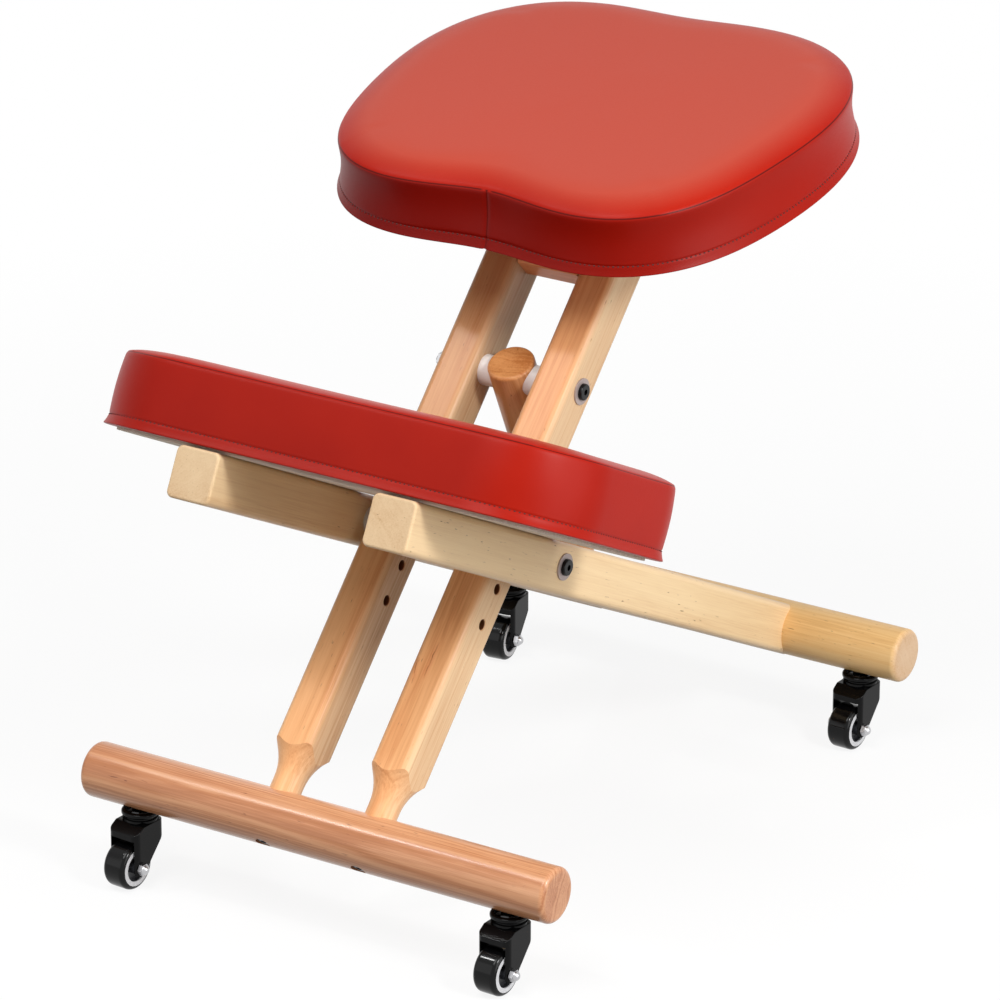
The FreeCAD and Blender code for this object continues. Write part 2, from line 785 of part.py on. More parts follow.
def make_tee_nuts():
    """Eight tee nuts in the two boards."""
    bore = cylinder_z(board_bolt_diameter / 2, -board_thickness, board_thickness)
    tee_nut = tee_nut_blank(0).cut(bore)
    return Part.makeCompound([placed(tee_nut, place) for place in seat_bolt_places() + knee_bolt_places()])


def make_board_bolts(head_base, places):
    """Bolts from below into the tee nuts of a board."""
    head = cylinder_z(board_bolt_head_diameter / 2, head_base - board_bolt_head_height, head_base)
    head = rounded(head, bolt_head_round, lambda edge: edge.CenterOfMass.z < head_base - board_bolt_head_height + 0.01)
    bolt = head.fuse(cylinder_z(board_bolt_diameter / 2, head_base, board_in_cover - tee_nut_flange_thickness))
    return Part.makeCompound([placed(bolt, place) for place in places])


def make_foam(pad, band, crown, place):
    """Foam block on a board."""
    return placed(cushion_solid(pad, foam_levels(band, crown)), place)


def make_cover(pad, band, crown, place):
    """Cover of a cushion, open below where the board goes in."""
    cover = cushion_solid(pad, cushion_levels(band, crown))
    cover = cover.cut(cushion_solid(pad, foam_levels(band, crown)))
    return placed(cover.cut(board_solid(pad)), place)


# Heights of the caster's pieces above the floor
rivet_top = fork_crown_bottom - race_gap
race_middle = (cup_bottom + fork_top) / 2
fork_inner_x = hub_width / 2 + fork_plate_gap
fork_outer_x = fork_inner_x + fork_plate_thickness
wheel_radius = wheel_diameter / 2
axle_point = Vector(0, -trail, wheel_radius)


def race_groove():
    """Ring cut out above and below the balls."""
    return Part.makeTorus(ball_circle_radius, ball_diameter / 2 + ball_gap, Vector(0, 0, race_middle))


def make_stem():
    """Threaded stem with its hexagonal collar and the riveted pin that carries the fork."""
    stem = cylinder_z(stem_diameter / 2, rivet_top, caster_height + stem_in_bar)
    stem = stem.fuse(hexagon_z(stem_collar_across_flats, cup_top - cup_dish_depth, caster_height))
    head = cylinder_z(rivet_head_diameter / 2, rivet_top - rivet_head_height, rivet_top)
    head = rounded(head, bolt_head_round, lambda edge: edge.CenterOfMass.z < rivet_top - rivet_head_height + 0.01)
    return stem.fuse(head)


def make_cup():
    """Upper race of the swivel bearing: a foot, a waist and a dished cap with a rolled rim."""
    rim = rounded(cylinder_z(cup_diameter / 2, cup_top - cup_rim_height, cup_top), cup_round, lambda edge: True)
    cup = cylinder_z(cup_foot_diameter / 2, cup_bottom, cup_bottom + cup_foot_height)
    cup = cup.fuse(cylinder_z(cup_waist_diameter / 2, cup_bottom, cup_top - cup_dish_depth)).fuse(rim)
    cup = cup.cut(cylinder_z(cup_dish_diameter / 2, cup_top - cup_dish_depth, cup_top + 1))
    cup = cup.cut(cylinder_z(stem_diameter / 2, cup_bottom, cup_top))
    return cup.cut(race_groove())


def make_balls():
    """Balls of the swivel bearing."""
    balls = []
    for step in range(ball_count):
        turn = math.radians(360 * step / ball_count)
        centre = Vector(ball_circle_radius * math.cos(turn), ball_circle_radius * math.sin(turn), race_middle)
        balls.append(Part.makeSphere(ball_diameter / 2, centre))
    return balls


def tangent_point(point, centre, radius, side):
    """Point where a line from point touches a circle in the YZ plane, on the given side."""
    away = point - centre
    turn = side * math.acos(radius / away.Length)
    y = away.y * math.cos(turn) - away.z * math.sin(turn)
    z = away.y * math.sin(turn) + away.z * math.cos(turn)
    return centre + Vector(0, y, z) * (radius / away.Length)


def fork_profile():
    """Side profile of the fork at x = 0."""
    front_top = Vector(0, -trail - fork_front, fork_top - fork_hood_drop)
    crest = Vector(0, -fork_crest, fork_top)
    rear_top = Vector(0, fork_rear, fork_top)
    rear_knee = Vector(0, fork_rear, fork_knee_height)
    rear_touch = tangent_point(rear_knee, axle_point, fork_eye_radius, -1)
    front_touch = tangent_point(front_top, axle_point, fork_eye_radius, 1)
    eye_bottom = axle_point - Vector(0, 0, fork_eye_radius)
    edges = [
        Part.makeLine(front_top, crest),
        Part.makeLine(crest, rear_top),
        Part.makeLine(rear_top, rear_knee),
        Part.makeLine(rear_knee, rear_touch),
        Part.Arc(rear_touch, eye_bottom, front_touch).toShape(),
        Part.makeLine(front_touch, front_top),
    ]
    return Part.Face(Part.Wire(edges))


def extruded_profile(half_width):
    """Side profile of the fork as a block of a half width."""
    profile = fork_profile()
    profile.translate(Vector(-half_width, 0, 0))
    return profile.extrude(Vector(2 * half_width, 0, 0))


def on_fork_top(edge):
    """True for the edges round the flat and the sloping part of the fork's crown."""
    middle = edge.CenterOfMass
    on_slope = abs(middle.x) > fork_inner_x or middle.y < -trail
    return middle.z > fork_top - 0.01 and abs(middle.y + fork_crest) > 0.01 or on_slope and above_skirt(middle)


def above_skirt(point):
    """True for a point on the plane of the crown's slope."""
    share = (-fork_crest - point.y) / (trail + fork_front - fork_crest)
    return share > 0.02 and point.z > fork_top - share * fork_hood_drop - 0.3


def make_fork():
    """Fork of a caster: a crown that slopes down to a front skirt, and two plates that carry the axle."""
    fork = extruded_profile(fork_outer_x)
    front = -trail - fork_front
    plan = box((-fork_outer_x, front, 0), (fork_outer_x, fork_rear, fork_top))
    fork = fork.common(rounded(plan, fork_corner_round, runs_along_z))
    skirt_bottom = fork_crown_bottom - fork_skirt_height
    reach = trail + fork_eye_radius
    low_slot = box((-fork_inner_x, -2 * reach, 0), (fork_inner_x, reach, skirt_bottom))
    high_slot = box((-fork_inner_x, front + fork_skirt_thickness, 0), (fork_inner_x, reach, fork_top))
    room = extruded_profile(fork_inner_x)
    room.translate(Vector(0, 0, -crown_thickness))
    fork = fork.cut(low_slot).cut(high_slot.common(room))
    fork = rounded(fork, fork_edge_round, on_fork_top)
    fork = fork.cut(cylinder_z(stem_diameter / 2 + pin_clearance, fork_crown_bottom - 1, fork_top + 1))
    fork = fork.cut(cylinder_x(axle_diameter / 2, -fork_outer_x - 1, fork_outer_x + 1, axle_point))
    return fork.cut(race_groove())


def make_axle():
    """Axle bolt of a wheel, with a round head on the left."""
    head = cylinder_x(axle_head_diameter / 2, -fork_outer_x - axle_head_height, -fork_outer_x, axle_point)
    head = rounded(head, bolt_head_round, lambda edge: edge.CenterOfMass.x < -fork_outer_x - axle_head_height + 0.01)
    tip = fork_outer_x + axle_nut_height + axle_past_nut
    return head.fuse(cylinder_x(axle_diameter / 2, -fork_outer_x, tip, axle_point))


def make_axle_nut():
    """Domed nut on the right end of the axle."""
    end = fork_outer_x + axle_nut_height
    body = hexagon_x(axle_nut_across_flats, fork_outer_x, end, axle_point)
    dome = Part.makeSphere(axle_nut_dome_radius, axle_point + Vector(end - axle_past_nut, 0, 0))
    dome = dome.common(cylinder_x(axle_nut_across_flats / 2, end - 0.5, end + axle_nut_dome_radius, axle_point))
    return body.fuse(dome).cut(cylinder_x(axle_diameter / 2, fork_outer_x, end + axle_past_nut, axle_point))


def make_hub():
    """Wheel hub: a rim, a recessed web and a boss that turns on the axle."""
    rim_half = tyre_width / 2
    recess_inner = hub_boss_diameter / 2
    recess_outer = hub_diameter / 2 - hub_rim
    hub = cylinder_x(hub_diameter / 2, -rim_half, rim_half, axle_point)
    for start, end in ((-rim_half, -rim_half + hub_recess), (rim_half - hub_recess, rim_half)):
        ring = cylinder_x(recess_outer, start, end, axle_point)
        hub = hub.cut(ring.cut(cylinder_x(recess_inner, start, end, axle_point)))
    hub = hub.fuse(cylinder_x(recess_inner, -hub_width / 2, hub_width / 2, axle_point)).removeSplitter()
    bore = axle_diameter / 2 + pin_clearance
    return hub.cut(cylinder_x(bore, -hub_width, hub_width, axle_point))


def make_tyre():
    """Tyre with a rounded tread."""
    half = tyre_width / 2
    tyre = rounded(cylinder_x(wheel_radius, -half, half, axle_point), tyre_round,
                   lambda edge: abs(edge.CenterOfMass.x) > half - 0.01)
    return tyre.cut(cylinder_x(hub_diameter / 2, -half, half, axle_point))


def caster_place(name):
    """Placement of a caster on the floor under its stem, turned by its yaw."""
    return FreeCAD.Placement(caster_points[name], FreeCAD.Rotation(Z_AXIS, caster_yaws[name]))


def caster_nodes():
    """The separate pieces of the four casters, and the balls of all four as one group."""
    makers = {
        "stem": make_stem(),
        "cup": make_cup(),
        "fork": make_fork(),
        "axle": make_axle(),
        "axle_nut": make_axle_nut(),
        "hub": make_hub(),
        "tyre": make_tyre(),
    }
    found = {}
    balls = []
    for name in caster_points:
        place = caster_place(name)
        for piece, shape in makers.items():
            found["caster_%s_%s" % (name, piece)] = placed(shape, place)
        balls += [placed(ball, place) for ball in make_balls()]
    found["caster_balls"] = Part.makeCompound(balls)
    return found


def frame_nodes():
    """The bars, beams, strut and what joins them."""
    found = {"front_bar": make_front_bar(), "rear_bar": make_rear_bar()}
    for name, side in SIDES.items():
        found["seat_beam_" + name] = make_seat_beam(side)
        found["knee_beam_" + name] = make_knee_beam(side)
        found["seat_bearer_" + name] = make_bearer(side)
    found["top_rail"] = make_top_rail()
    found["strut"] = make_strut()
    found["strut_cross_dowel"] = make_dowel()
    found["strut_spacers"] = make_strut_spacers()
    found["crossing_spacers"] = both_sides(make_crossing_spacer)
    found["crossing_bolts"] = both_sides(make_crossing_bolt)
    found["strut_bolt"] = make_strut_bolt()
    found["bolt_washers"] = make_washers()
    found["bolt_nuts"] = make_nuts()
    found["bar_bolts"] = make_bar_bolts()
    found["threaded_inserts"] = make_inserts()
    found["bearer_screws"] = make_bearer_screws()
    return found


def seat_and_knee_nodes():
    """The two cushions with their boards, tee nuts and bolts."""
    seat_head = -board_below_cover - bearer_thickness
    knee_head = knee_bolt_head_sunk - board_below_cover - knee_beam_depth
    return {
        "seat_board": make_board(seat_pad, seat_pad_place, seat_bolt_places()),
        "seat_foam": make_foam(seat_pad, seat_band, seat_crown, seat_pad_place),
        "seat_cover": make_cover(seat_pad, seat_band, seat_crown, seat_pad_place),
        "knee_board": make_board(knee_pad, knee_place, knee_bolt_places()),
        "knee_foam": make_foam(knee_pad, knee_band, knee_crown, knee_place),
        "knee_cover": make_cover(knee_pad, knee_band, knee_crown, knee_place),
        "seat_bolts": make_board_bolts(seat_head, seat_bolt_places()),
        "knee_bolts": make_board_bolts(knee_head, knee_bolt_places()),
        "tee_nuts": make_tee_nuts(),
    }


def centre_over_origin(nodes):
    """Move every node so that the middle of the whole object's box stands over the origin."""
    whole = Part.makeCompound(list(nodes.values())).optimalBoundingBox(False, False)
    shift = Vector(-whole.Center.x, -whole.Center.y, -whole.ZMin)
    for shape in nodes.values():
        shape.translate(shift)
    return shift, whole


def main():
    nodes = {}
    nodes.update(frame_nodes())
    nodes.update(seat_and_knee_nodes())
    nodes.update(caster_nodes())
    shift, whole = centre_over_origin(nodes)
    os.makedirs("parts", exist_ok=True)
    for name, shape in nodes.items():
        shape.exportStep("parts/%s.step" % name)
        state = "" if shape.isValid() else " NOT VALID"
        print("%-32s solids %2d volume %10.1f%s" % (name, len(shape.Solids), shape.Volume, state))
    print("nodes %d, box %.1f x %.1f x %.1f" % (len(nodes), whole.XLength, whole.YLength, whole.ZLength))
    print("shift", [round(value, 4) for value in shift])
    for name, point in caster_points.items():
        place = caster_place(name)
        hub_centre = place.multVec(axle_point) + shift
        axle_way = place.Rotation.multVec(X_AXIS)
        swivel = point + shift + Vector(0, 0, race_middle)
        print(name, "swivel", [round(value, 4) for value in swivel],
              "axle", [round(value, 4) for value in hub_centre], [round(value, 6) for value in axle_way])
    print("crossing", crossing + shift, "strut bolt", strut_bolt_point + shift, "dowel", dowel_centre + shift)
    print("knee beams slope %.2f degrees, strut length %.1f" % (knee_slope, strut_length))


main()
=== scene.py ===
# %% [markdown]
# # A kneeling chair on casters
# The chair has two red padded cushions on a frame of lacquered beech: crossed beams, a round strut
# and two round floor bars on swivel casters. The bars, beams, bolts and casters come from the
# measured model, which is loaded first and never moved. This lesson adds what that model can't
# hold: the look of each material, and the two upholstered cushions with their seams and stitches.

# %% Load the measured model
import json
import math

import bmesh
import bpy
from mathutils import Matrix, Vector
from mathutils.bvhtree import BVHTree


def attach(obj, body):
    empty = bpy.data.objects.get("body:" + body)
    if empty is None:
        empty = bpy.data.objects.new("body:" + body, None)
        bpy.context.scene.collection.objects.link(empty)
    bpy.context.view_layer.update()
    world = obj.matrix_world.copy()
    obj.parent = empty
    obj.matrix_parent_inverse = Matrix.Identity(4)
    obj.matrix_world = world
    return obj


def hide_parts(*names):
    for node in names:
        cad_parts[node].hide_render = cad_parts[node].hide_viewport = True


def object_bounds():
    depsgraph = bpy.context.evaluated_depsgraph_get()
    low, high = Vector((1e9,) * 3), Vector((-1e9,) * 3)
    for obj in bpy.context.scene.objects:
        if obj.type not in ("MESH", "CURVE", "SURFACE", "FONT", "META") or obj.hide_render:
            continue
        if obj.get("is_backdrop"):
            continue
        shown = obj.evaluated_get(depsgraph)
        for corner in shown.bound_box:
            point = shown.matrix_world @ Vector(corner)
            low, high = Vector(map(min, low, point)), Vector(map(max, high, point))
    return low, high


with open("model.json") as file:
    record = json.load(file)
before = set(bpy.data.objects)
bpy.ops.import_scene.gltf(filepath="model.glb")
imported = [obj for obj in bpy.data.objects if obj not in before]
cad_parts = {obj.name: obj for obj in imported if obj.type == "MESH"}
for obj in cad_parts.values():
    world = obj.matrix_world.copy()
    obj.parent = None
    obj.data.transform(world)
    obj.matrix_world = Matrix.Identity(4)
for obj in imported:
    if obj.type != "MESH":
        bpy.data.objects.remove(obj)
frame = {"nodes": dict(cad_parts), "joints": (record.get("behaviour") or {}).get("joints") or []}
model_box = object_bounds()
nodes = frame["nodes"]
MM = 0.001
print("pieces in the model:", len(nodes))

# %% [markdown]
# ## Camera
# The photograph was taken with a long lens from about five and a half metres, to the right of the
# front and a little above. A long lens keeps parallel bars almost parallel, so the camera has to
# stand at the true distance: a near camera with a short lens would fan them out. The place and the
# turn below were fitted to the edges of the beams and bars.

# %% Camera
camera = bpy.data.objects.new("camera", bpy.data.cameras.new("camera"))
bpy.context.scene.collection.objects.link(camera)
camera.location = (2.74210, -4.29668, 2.37102)
camera.rotation_euler = [math.radians(angle) for angle in (67.9205, -0.0960, 32.6131)]
camera.data.sensor_width = 36.0
camera.data.lens = 223.996
camera.data.clip_end = 100.0
bpy.context.scene.camera = camera
print("camera stands", round(camera.location.length, 2), "m from the chair")

# %% [markdown]
# ## Light, floor and background
# A product photograph has one large soft key light, a dome of white around it and a white floor.
# The right sides of the beams are the palest, yet the shadow of the knee cushion on the beam below
# is light: so most of the side light is a wide wall of it, and the key that draws the shadow is
# weak. A light high in front models the tops and leaves the front of the seat in shade, a faint low
# one reaches the beams under the knee cushion, a small one on the left puts sharp glints on the
# black casters, and the world gives the soft fill. The floor is white to the camera and still takes
# the chair's shadow: most of it glows, and the rest is a matt surface. Far from the chair all of it
# glows, so that no edge shows. To the light that bounces under the chair the floor is grey, because
# a white one would fill the shaded side of the seat.

# %% Light helpers
LAMP_DISTANCE = 3.0
CHAIR_MIDDLE = Vector((0, 0, 0.35))


def soft_box(name, azimuth, elevation, size, power):
    """Square area light that looks at the chair from an azimuth and an elevation in degrees."""
    light = bpy.data.lights.new(name, "AREA")
    light.shape = "SQUARE"
    light.size = size
    light.energy = power
    lamp = bpy.data.objects.new(name, light)
    bpy.context.scene.collection.objects.link(lamp)
    turn, rise = math.radians(azimuth), math.radians(elevation)
    way = Vector((math.sin(turn) * math.cos(rise), -math.cos(turn) * math.cos(rise), math.sin(rise)))
    lamp.location = CHAIR_MIDDLE + way * LAMP_DISTANCE
    lamp.rotation_euler = (CHAIR_MIDDLE - lamp.location).to_track_quat("-Z", "Y").to_euler()


# %% Lights and world
soft_box("key", azimuth=75, elevation=33, size=0.5, power=38)
soft_box("side_wall", azimuth=88, elevation=12, size=2.4, power=46)
soft_box("front_top", azimuth=0, elevation=56, size=1.4, power=42)
soft_box("low_fill", azimuth=-25, elevation=14, size=2.0, power=9)
soft_box("left_glint", azimuth=-53, elevation=51, size=0.2, power=11)

bpy.context.scene.view_settings.view_transform = "Standard"
world = bpy.data.worlds.new("white_studio")
bpy.context.scene.world = world
world.use_nodes = True
WORLD_LIGHT = 0.23


def seen_white(tree):
    """Factor that is 1 where a ray comes from the camera, a mirror-like bounce or through glass."""
    path = tree.nodes.new("ShaderNodeLightPath")
    seen = None
    for kind in ("Is Camera Ray", "Is Glossy Ray", "Is Transmission Ray"):
        if seen is None:
            seen = path.outputs[kind]
            continue
        either = tree.nodes.new("ShaderNodeMath")
        either.operation = "MAXIMUM"
        tree.links.new(seen, either.inputs[0])
        tree.links.new(path.outputs[kind], either.inputs[1])
        seen = either.outputs[0]
    return seen


tree = world.node_tree
tree.nodes.clear()
world_output = tree.nodes.new("ShaderNodeOutputWorld")
fill_light = tree.nodes.new("ShaderNodeBackground")
fill_light.inputs["Strength"].default_value = WORLD_LIGHT
white_backdrop = tree.nodes.new("ShaderNodeBackground")
white_backdrop.inputs["Strength"].default_value = 1.0
for background in (fill_light, white_backdrop):
    background.inputs["Color"].default_value = (1, 1, 1, 1)
pick = tree.nodes.new("ShaderNodeMixShader")
tree.links.new(seen_white(tree), pick.inputs[0])
tree.links.new(fill_light.outputs[0], pick.inputs[1])
tree.links.new(white_backdrop.outputs[0], pick.inputs[2])
tree.links.new(pick.outputs[0], world_output.inputs[0])

# %% Floor
FLOOR_HALF = 12.0
FLOOR_GLOW_SHARE = 0.88
FLOOR_GREY = 0.24
GLOW_STARTS, GLOW_FULL = 0.5, 1.6
floor_form = bmesh.new()
bmesh.ops.create_grid(floor_form, x_segments=1, y_segments=1, size=FLOOR_HALF)
floor_mesh = bpy.data.meshes.new("floor")
floor_form.to_mesh(floor_mesh)
floor_form.free()
floor = bpy.data.objects.new("floor", floor_mesh)
bpy.context.scene.collection.objects.link(floor)
floor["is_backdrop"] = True

floor_material = bpy.data.materials.new("white_floor")
floor_material.use_nodes = True
tree = floor_material.node_tree
tree.nodes.clear()
floor_output = tree.nodes.new("ShaderNodeOutputMaterial")
matt_white = tree.nodes.new("ShaderNodeBsdfDiffuse")
glow = tree.nodes.new("ShaderNodeEmission")
glow.inputs["Strength"].default_value = 1.0
seen = seen_white(tree)
place = tree.nodes.new("ShaderNodeNewGeometry")
from_chair = tree.nodes.new("ShaderNodeVectorMath")
from_chair.operation = "LENGTH"
tree.links.new(place.outputs["Position"], from_chair.inputs[0])
glow_share = tree.nodes.new("ShaderNodeMapRange")
glow_range = {"From Min": GLOW_STARTS, "From Max": GLOW_FULL, "To Min": FLOOR_GLOW_SHARE, "To Max": 1.0}
for socket, value in glow_range.items():
    glow_share.inputs[socket].default_value = value
tree.links.new(from_chair.outputs["Value"], glow_share.inputs["Value"])
share = tree.nodes.new("ShaderNodeMath")
share.operation = "MULTIPLY"
tree.links.new(glow_share.outputs[0], share.inputs[0])
tree.links.new(seen, share.inputs[1])
shade = tree.nodes.new("ShaderNodeMapRange")
shade.inputs["To Min"].default_value = FLOOR_GREY
tree.links.new(seen, shade.inputs["Value"])
tree.links.new(shade.outputs[0], matt_white.inputs["Color"])
floor_mix = tree.nodes.new("ShaderNodeMixShader")
tree.links.new(share.outputs[0], floor_mix.inputs[0])
tree.links.new(matt_white.outputs[0], floor_mix.inputs[1])
tree.links.new(glow.outputs[0], floor_mix.inputs[2])
tree.links.new(floor_mix.outputs[0], floor_output.inputs["Surface"])
floor.data.materials.append(floor_material)
print("floor is", 2 * FLOOR_HALF, "m wide")

# %% [markdown]
# ## Shader helpers
# Every finish starts from Blender's Principled shader and gets its variation from noise in the
# piece's own coordinates. A few small functions keep the finishes short to read: one makes a
# material, one adds a node with its values, and one turns and stretches the coordinates so that
# a pattern follows the grain of the piece.

# %% Shader helpers
def srgb(red, green, blue):
    """Linear colour from the 0 to 255 values that a screen shows."""
    linear = []
    for value in (red, green, blue):
        part = value / 255
        linear.append(part / 12.92 if part <= 0.04045 else ((part + 0.055) / 1.055) ** 2.4)
    return (*linear, 1.0)


def new_material(name, **sockets):
    """Material with a Principled shader, whose plain values are set on its own sockets."""
    material = bpy.data.materials.new(name)
    material.use_nodes = True
    shader = material.node_tree.nodes["Principled BSDF"]
    for socket, value in sockets.items():
        shader.inputs[socket.replace("_", " ")].default_value = value
    return material, material.node_tree, shader


def add_node(tree, kind, settings=None, **inputs):
    """Shader node with its settings, its socket values and its incoming links."""
    node = tree.nodes.new("ShaderNode" + kind)
    for name, value in (settings or {}).items():
        setattr(node, name, value)
    for name, value in inputs.items():
        key = int(name[1:]) if name[0] == "i" and name[1:].isdigit() else name.replace("_", " ")
        if isinstance(value, bpy.types.NodeSocket):
            tree.links.new(value, node.inputs[key])
        else:
            node.inputs[key].default_value = value
    return node


def piece_coordinates(tree, rotation=(0, 0, 0), shift=(0, 0, 0)):
    """The piece's own coordinates in metres, turned (in degrees) and then shifted."""
    place = tree.nodes.new("ShaderNodeTexCoord").outputs["Object"]
    turned = add_node(tree, "Mapping", Vector=place, Rotation=[math.radians(angle) for angle in rotation])
    return add_node(tree, "Mapping", Vector=turned.outputs[0], Location=shift).outputs[0]


def math_node(tree, operation, first, second=0.0, clamp=False):
    """Output of one Math node."""
    settings = {"operation": operation, "use_clamp": clamp}
    return add_node(tree, "Math", settings, i0=first, i1=second).outputs[0]


def ramp(tree, factor, stops):
    """Colour ramp whose stops are (position, colour)."""
    node = add_node(tree, "ValToRGB", Fac=factor)
    elements = node.color_ramp.elements
    while len(elements) < len(stops):
        elements.new(0.5)
    for element, (position, colour) in zip(elements, stops):
        element.position = position
        element.color = colour
    return node.outputs[0]


def blend_colours(tree, factor, first, second, kind="MIX"):
    """Output of a Mix node on two colours."""
    node = tree.nodes.new("ShaderNodeMix")
    node.data_type = "RGBA"
    node.blend_type = kind
    for index, value in ((0, factor), (6, first), (7, second)):
        if isinstance(value, bpy.types.NodeSocket):
            tree.links.new(value, node.inputs[index])
        else:
            node.inputs[index].default_value = value
    return node.outputs[2]


def speckle(tree, vector, scale, detail=2.0, roughness=0.5):
    """Value of a noise texture."""
    return add_node(tree, "TexNoise", Vector=vector, Scale=scale, Detail=detail,
                    Roughness=roughness).outputs["Fac"]


def bump(tree, shader, height, depth, strength=1.0):
    """Bump that moves the surface by depth in metres where height is 1."""
    node = add_node(tree, "Bump", Height=height, Strength=strength, Distance=depth)
    tree.links.new(node.outputs[0], shader.inputs["Normal"])


# %% [markdown]
# ## Lacquered beech
# Beech is a plain wood: pale rings a few millimetres apart that wander a little, faint clouds of
# darker and lighter wood, and short brown flecks where its rays are cut. A picture of wood could
# be wrapped round each beam, but its grain would break at every edge. Here the wood is solid: the
# rings are cylinders round a pith line beside the piece, so long faces show stripes and the ends
# show arcs, as in a real board. The coordinates are turned first so that Z runs along the beam.

# %% Beech
def beech(name, light, dark, side, along, seed, pith=(0.055, 0.035), gloss=0.34, coat=0.12,
          figure=0.22, light_and_shade_along=None, holes=(), streaks=()):
    """Lacquered beech whose grain runs along Z after the turn given by along, in degrees."""
    material, tree, shader = new_material(name, Coat_Weight=coat, Coat_Roughness=0.2, Coat_IOR=1.45,
                                          Specular_IOR_Level=0.22)
    shift = (seed * 0.37, seed * 0.21, seed * 0.53)
    place = piece_coordinates(tree, rotation=along)
    stretched = add_node(tree, "Mapping", Vector=place, Scale=(1, 1, 0.09), Location=shift).outputs[0]
    wander = add_node(tree, "TexNoise", Vector=stretched, Scale=16.0, Detail=4.0)
    sway = add_node(tree, "VectorMath", {"operation": "MULTIPLY_ADD"}, i0=wander.outputs["Color"],
                    i1=(0.030, 0.030, 0), i2=(-pith[0], -pith[1], 0))
    flat = add_node(tree, "VectorMath", {"operation": "MULTIPLY"}, i0=place, i1=(1, 1, 0))
    from_pith = add_node(tree, "VectorMath", {"operation": "ADD"}, i0=flat.outputs[0], i1=sway.outputs[0])
    distance = add_node(tree, "VectorMath", {"operation": "LENGTH"}, i0=from_pith.outputs[0])
    rings = add_node(tree, "TexNoise", {"noise_dimensions": "1D"}, W=distance.outputs["Value"],
                     Scale=330.0, Detail=3.0).outputs["Fac"]
    clouds = speckle(tree, stretched, 26.0, detail=5.0, roughness=0.6)
    fibres_at = add_node(tree, "Mapping", Vector=place, Scale=(1, 1, 0.02), Location=shift).outputs[0]
    fibres = speckle(tree, fibres_at, 700.0, detail=3.0, roughness=0.7)
    tone = math_node(tree, "MULTIPLY", math_node(tree, "SUBTRACT", rings, 0.5), figure)
    tone = math_node(tree, "ADD", tone, math_node(tree, "MULTIPLY", clouds, 0.62))
    tone = math_node(tree, "ADD", tone, math_node(tree, "MULTIPLY", fibres, 0.36))
    middle = [(a + b) / 2 for a, b in zip(light, dark)]
    darker = (dark[0] * 0.86, dark[1] * 0.80, dark[2] * 0.74, 1.0)
    colour = ramp(tree, tone, [(0.32, darker), (0.41, dark), (0.49, middle), (0.62, light)])
    # Painted light: faces that look along X, the sides of a beam, take the paler side colour. It stands
    # partly for the whiter light from the side and partly for the paler grain of those faces.
    facing = add_node(tree, "SeparateXYZ", Vector=tree.nodes.new("ShaderNodeTexCoord").outputs["Normal"])
    side_light_share = math_node(tree, "POWER", math_node(tree, "ABSOLUTE", facing.outputs["X"]), 1.5)
    side_light_lift = [min(a / max(b, 0.01), 2.4) for a, b in zip(side, middle)]
    painted_side_light = blend_colours(tree, 1.0, colour, (*side_light_lift[:3], 1.0), kind="MULTIPLY")
    colour = blend_colours(tree, side_light_share, colour, painted_side_light)
    fleck_at = add_node(tree, "Mapping", Vector=place, Scale=(1, 1, 0.16), Location=shift).outputs[0]
    flecks = speckle(tree, fleck_at, 620.0, detail=1.0)
    patches = speckle(tree, stretched, 60.0, detail=2.0)
    flecks = math_node(tree, "MULTIPLY", math_node(tree, "SUBTRACT", flecks, 0.70, True), 9.0, True)
    flecks = math_node(tree, "MULTIPLY", flecks, math_node(tree, "SUBTRACT", patches, 0.42, True))
    flecks = math_node(tree, "MULTIPLY", flecks, 5.0, True)
    brown = (dark[0] * 0.34, dark[1] * 0.22, dark[2] * 0.16, 1.0)
    colour = blend_colours(tree, flecks, colour, brown)
    # Painted light and shade: a beam can be painted paler at one end and darker at the other.
    if light_and_shade_along:
        colour = paint_light_and_shade_along(tree, place, colour, *light_and_shade_along)
    # Painted shade in the spare bolt holes.
    for across, along_beam in holes:
        colour = paint_hole_shade(tree, place, colour, across, along_beam)
    for line in streaks:
        colour = add_streak(tree, place, colour, brown, **line)
    tree.links.new(colour, shader.inputs["Base Color"])
    sheen = math_node(tree, "MULTIPLY_ADD", clouds, 0.16)
    sheen.node.inputs[2].default_value = gloss
    tree.links.new(sheen, shader.inputs["Roughness"])
    bump(tree, shader, math_node(tree, "ADD", fibres, clouds), 0.00008, strength=0.35)
    return material


def paint_light_and_shade_along(tree, place, colour, start, end, first, last):
    """Painted light and shade along a beam: its colour is scaled from first at the start height to last at
    the end height.
    """
    height = add_node(tree, "SeparateXYZ", Vector=place).outputs["Z"]
    tone = add_node(tree, "MapRange", Value=height, From_Min=start, From_Max=end, To_Min=first, To_Max=last)
    light_and_shade_factor = add_node(tree, "CombineXYZ", X=tone.outputs[0], Y=tone.outputs[0], Z=tone.outputs[0]).outputs[0]
    return blend_colours(tree, 1.0, colour, light_and_shade_factor, kind="MULTIPLY")


HOLE_RADIUS = 0.0050


def paint_hole_shade(tree, place, colour, across, along_beam):
    """Painted shade inside a drilled hole that crosses the beam along X: its wall is painted dark brown."""
    centred = add_node(tree, "Mapping", Vector=place, Scale=(0, 1, 1), Location=(0, -across, -along_beam))
    distance = add_node(tree, "VectorMath", {"operation": "LENGTH"}, i0=centred.outputs[0]).outputs["Value"]
    hole_shade = math_node(tree, "MULTIPLY", math_node(tree, "SUBTRACT", HOLE_RADIUS, distance), 3000.0, True)
    return blend_colours(tree, hole_shade, colour, srgb(112, 66, 38))


LINE_HALF = 0.0006
HALO_HALF = 0.0032


